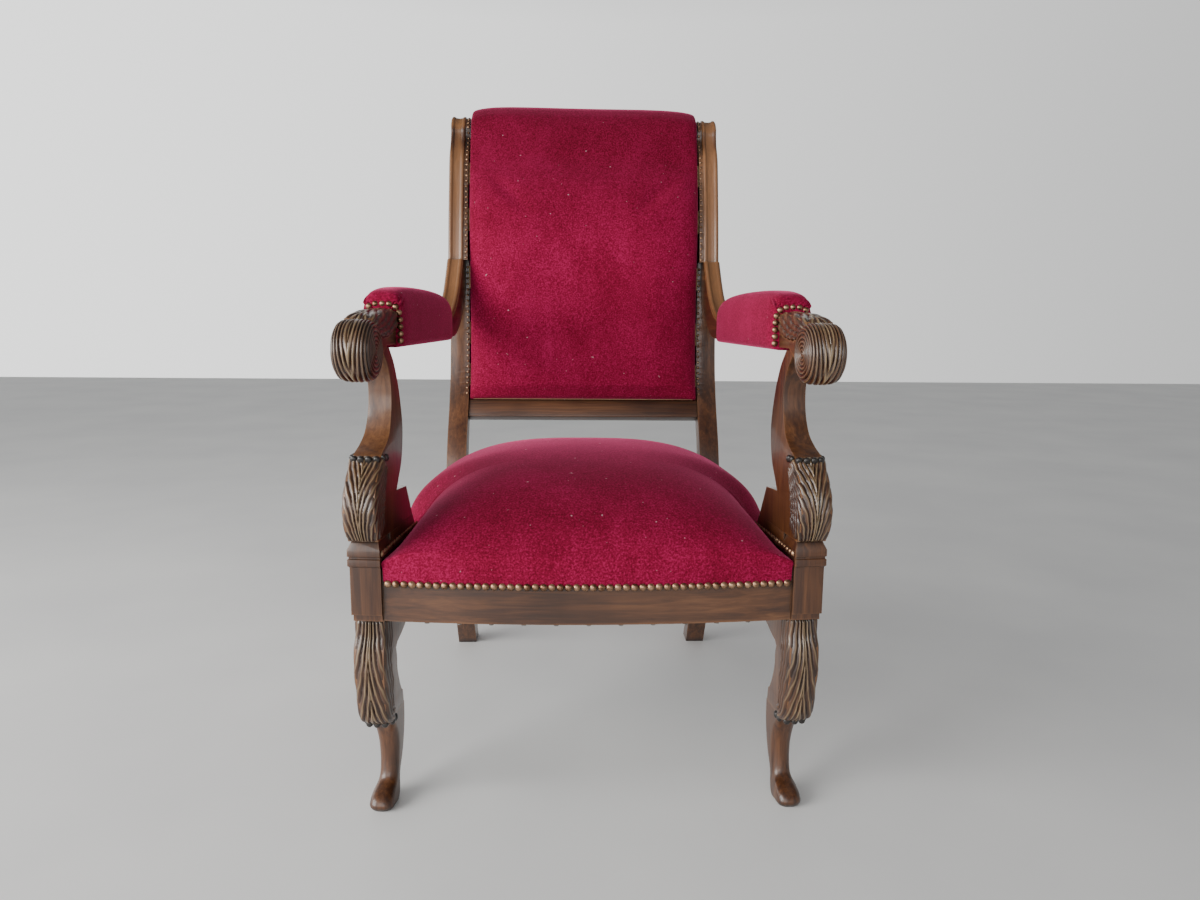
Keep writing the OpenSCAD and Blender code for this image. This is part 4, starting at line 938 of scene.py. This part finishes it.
def arm_pad(name, place):
    """The padded velvet over an arm: a rounded loaf, pleated at its front corners."""
    half, top_z, low = ARM_W / 2 + 11, ARM_Z + ARM_T + 42, ARM_Z - COVER - 1.6
    stations = [(0.0, 9, 14, 0.45), (0.004, 4, 14, 0.5), (0.014, 3, 10, 0.56), (0.04, 1.5, 6, 0.6),
                (0.09, 0.5, 3, 0.64), (0.16, 0, 1.2, 0.66), (0.35, -1, 0, 0.68), (0.6, -1, 1, 0.68),
                (0.8, 0, 4.5, 0.66), (0.9, 1.5, 10, 0.62), (0.96, 4, 17, 0.58), (0.99, 7, 24, 0.5),
                (1.0, 12, 30, 0.45)]
    lines = [(0.0, 9, 14, 0.45, inward) for inward in (0.35, 0.5, 0.62, 0.74, 0.86, 0.95)]
    lines += [(*line, 1.0) for line in curve_line(stations, 4)]
    rings = []
    for share, narrower, lower, square, inward in lines:
        ring = []
        for k in range(120):
            a = 2 * math.pi * k / 120
            c, s = math.cos(a), math.sin(a)
            power = square * 0.45 if s < 0 else square
            w = half - narrower
            x = w * math.copysign(abs(c) ** power, c)
            z = (low + top_z - lower) / 2 + (top_z - lower - low) / 2 * math.copysign(abs(s) ** power, s)
            near = smooth(1 - share / 0.09)
            forward = 2.5 * (1 - inward * inward)
            for fold in (50, 130):
                off = math.degrees(a) - fold - (fold - 90) * 0.5 * near
                pleat = math.exp(-(off / 3.2) ** 2) - 0.8 * math.exp(-((abs(off) - 8) / 3.6) ** 2)
                x += 2.2 * near * pleat * c
                z += 2.2 * near * pleat * s
                forward += 1.5 * pleat * smooth(inward / 0.6) * near
            z = mix((low + top_z - lower) / 2, z, inward)
            ring.append(place(x * inward, mix(PAD_Y0 - 1, PAD_Y1, share) - forward, z))
        rings.append(ring)
    return lofted(name, rings)


for side, word in SIDES:
    pad = arm_pad("arm_pad_" + word, on_arm(side))
    front, rear = at(0, PAD_Y0 - 10, 0).y, at(0, PAD_Y1 - 20, 0).y
    puffed(pad, lambda p: p.z < (ARM_Z + 4) * MM or p.y < front or p.y > rear, 2.0, 3)
    subdivided(smooth_shaded(pad, 50))
    finished(pad, VELVET, "velvet", "arm_cover_" + word, "arm_stuffing_" + word)


# ---------- underside ----------

def bottom_cloth():
    """Black cloth tacked under the seat: the CAD sheet, sagging a little in the middle."""
    piece = outward(copy_of("seat_bottom_cloth", "dust_cloth"))
    choose(piece)
    bpy.ops.object.mode_set(mode="EDIT")
    bpy.ops.mesh.select_all(action="SELECT")
    bpy.ops.mesh.subdivide(number_cuts=8)
    bpy.ops.object.mode_set(mode="OBJECT")
    low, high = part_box("seat_bottom_cloth")
    for vertex in piece.data.vertices:
        u = (vertex.co.x - low.x) / (high.x - low.x) * 2 - 1
        v = (vertex.co.y - low.y) / (high.y - low.y) * 2 - 1
        hollow = bump_curve(u, 2, 1) * bump_curve(v, 2, 1)
        vertex.co.z -= (2.5 + 1.2 * noise.noise(vertex.co * 18)) * hollow * MM
    return piece, high.x - low.x, high.y - low.y


cloth, cloth_w, cloth_l = bottom_cloth()
smooth_shaded(cloth, 40)
cloth_area = sum(f.area for f in cloth.data.polygons) / 2
finished(cloth, LINING, "lining", "seat_bottom_cloth")
min(cloth_area, cloth_w * cloth_l)


# ---------- room ----------

CAMERA_X, CAMERA_AWAY, CAMERA_Z = -23, 1003, 640
CAMERA_TURN = (-2.0, 9.06, 0.5)
CAMERA_LENS = 25.6


def room_floor():
    bpy.ops.mesh.primitive_plane_add(size=14, location=(0, 0, 0))
    floor = bpy.context.object
    floor.name = "studio_floor"
    finish = Finish("pale_floor", Roughness=0.55, Specular_IOR_Level=0.25)
    tone = finish.noise(2.2, 3.0)
    finish.feed("Base Color", finish.ramp(tone, [(0.3, (0.76, 0.76, 0.76)), (0.7, (0.84, 0.84, 0.83))]))
    floor.data.materials.append(finish.material)


def area_light(name, place, aim, size, power, colour):
    light = bpy.data.lights.new(name, "AREA")
    light.shape, light.size, light.size_y = "RECTANGLE", size[0], size[1]
    light.energy, light.color = power, colour
    lamp = bpy.data.objects.new(name, light)
    bpy.context.scene.collection.objects.link(lamp)
    lamp.location = place
    lamp.rotation_euler = (Vector(aim) - Vector(place)).to_track_quat("-Z", "Y").to_euler()


def camera():
    """Stands in front of the chair, as high as its arm pads, and looks nine degrees down."""
    data = bpy.data.cameras.new("camera")
    data.sensor_width, data.lens = 36, CAMERA_LENS
    holder = bpy.data.objects.new("camera", data)
    bpy.context.scene.collection.objects.link(holder)
    stand = at(CAMERA_X, -CAMERA_AWAY, CAMERA_Z)
    holder.location = stand
    yaw, pitch, roll = (math.radians(a) for a in CAMERA_TURN)
    holder.rotation_euler = (Matrix.Rotation(yaw, 3, "Z") @ Matrix.Rotation(math.pi / 2 - pitch, 3, "X")
                             @ Matrix.Rotation(roll, 3, "Z")).to_euler()
    bpy.context.scene.camera = holder


room_floor()
camera()
area_light("window", (-2.7, -1.5, 1.25), (0, 0, 0.55), (2.2, 1.8), 120, (1.0, 0.985, 0.96))
area_light("doorway", (-0.6, -3.0, 1.3), (0, 0, 0.45), (1.8, 1.6), 22, (1.0, 0.99, 0.97))
area_light("ceiling", (0.6, -0.4, 3.0), (0, 0, 0.4), (3.0, 3.0), 5, (1.0, 1.0, 1.0))


def room_air():
    """Pale walls all round and a darker ceiling."""
    world = bpy.data.worlds.new("room_air")
    bpy.context.scene.world = world
    world.use_nodes = True
    tree = world.node_tree
    where = tree.nodes.new("ShaderNodeTexCoord")
    split = tree.nodes.new("ShaderNodeSeparateXYZ")
    shade = tree.nodes.new("ShaderNodeValToRGB")
    shade.color_ramp.elements[0].position, shade.color_ramp.elements[0].color = 0.30, (0.95, 0.955, 0.95, 1)
    shade.color_ramp.elements[1].position, shade.color_ramp.elements[1].color = 0.62, (0.09, 0.092, 0.095, 1)
    side_light = tree.nodes.new("ShaderNodeMath")
    side_light.operation = "MULTIPLY_ADD"
    side_light.inputs[1].default_value, side_light.inputs[2].default_value = -0.95, 1.38
    tree.links.new(split.outputs["X"], side_light.inputs[0])
    tree.links.new(side_light.outputs[0], tree.nodes["Background"].inputs["Strength"])
    tree.links.new(where.outputs["Generated"], split.inputs[0])
    tree.links.new(split.outputs["Z"], shade.inputs[0])
    tree.links.new(shade.outputs[0], tree.nodes["Background"].inputs["Color"])


room_air()
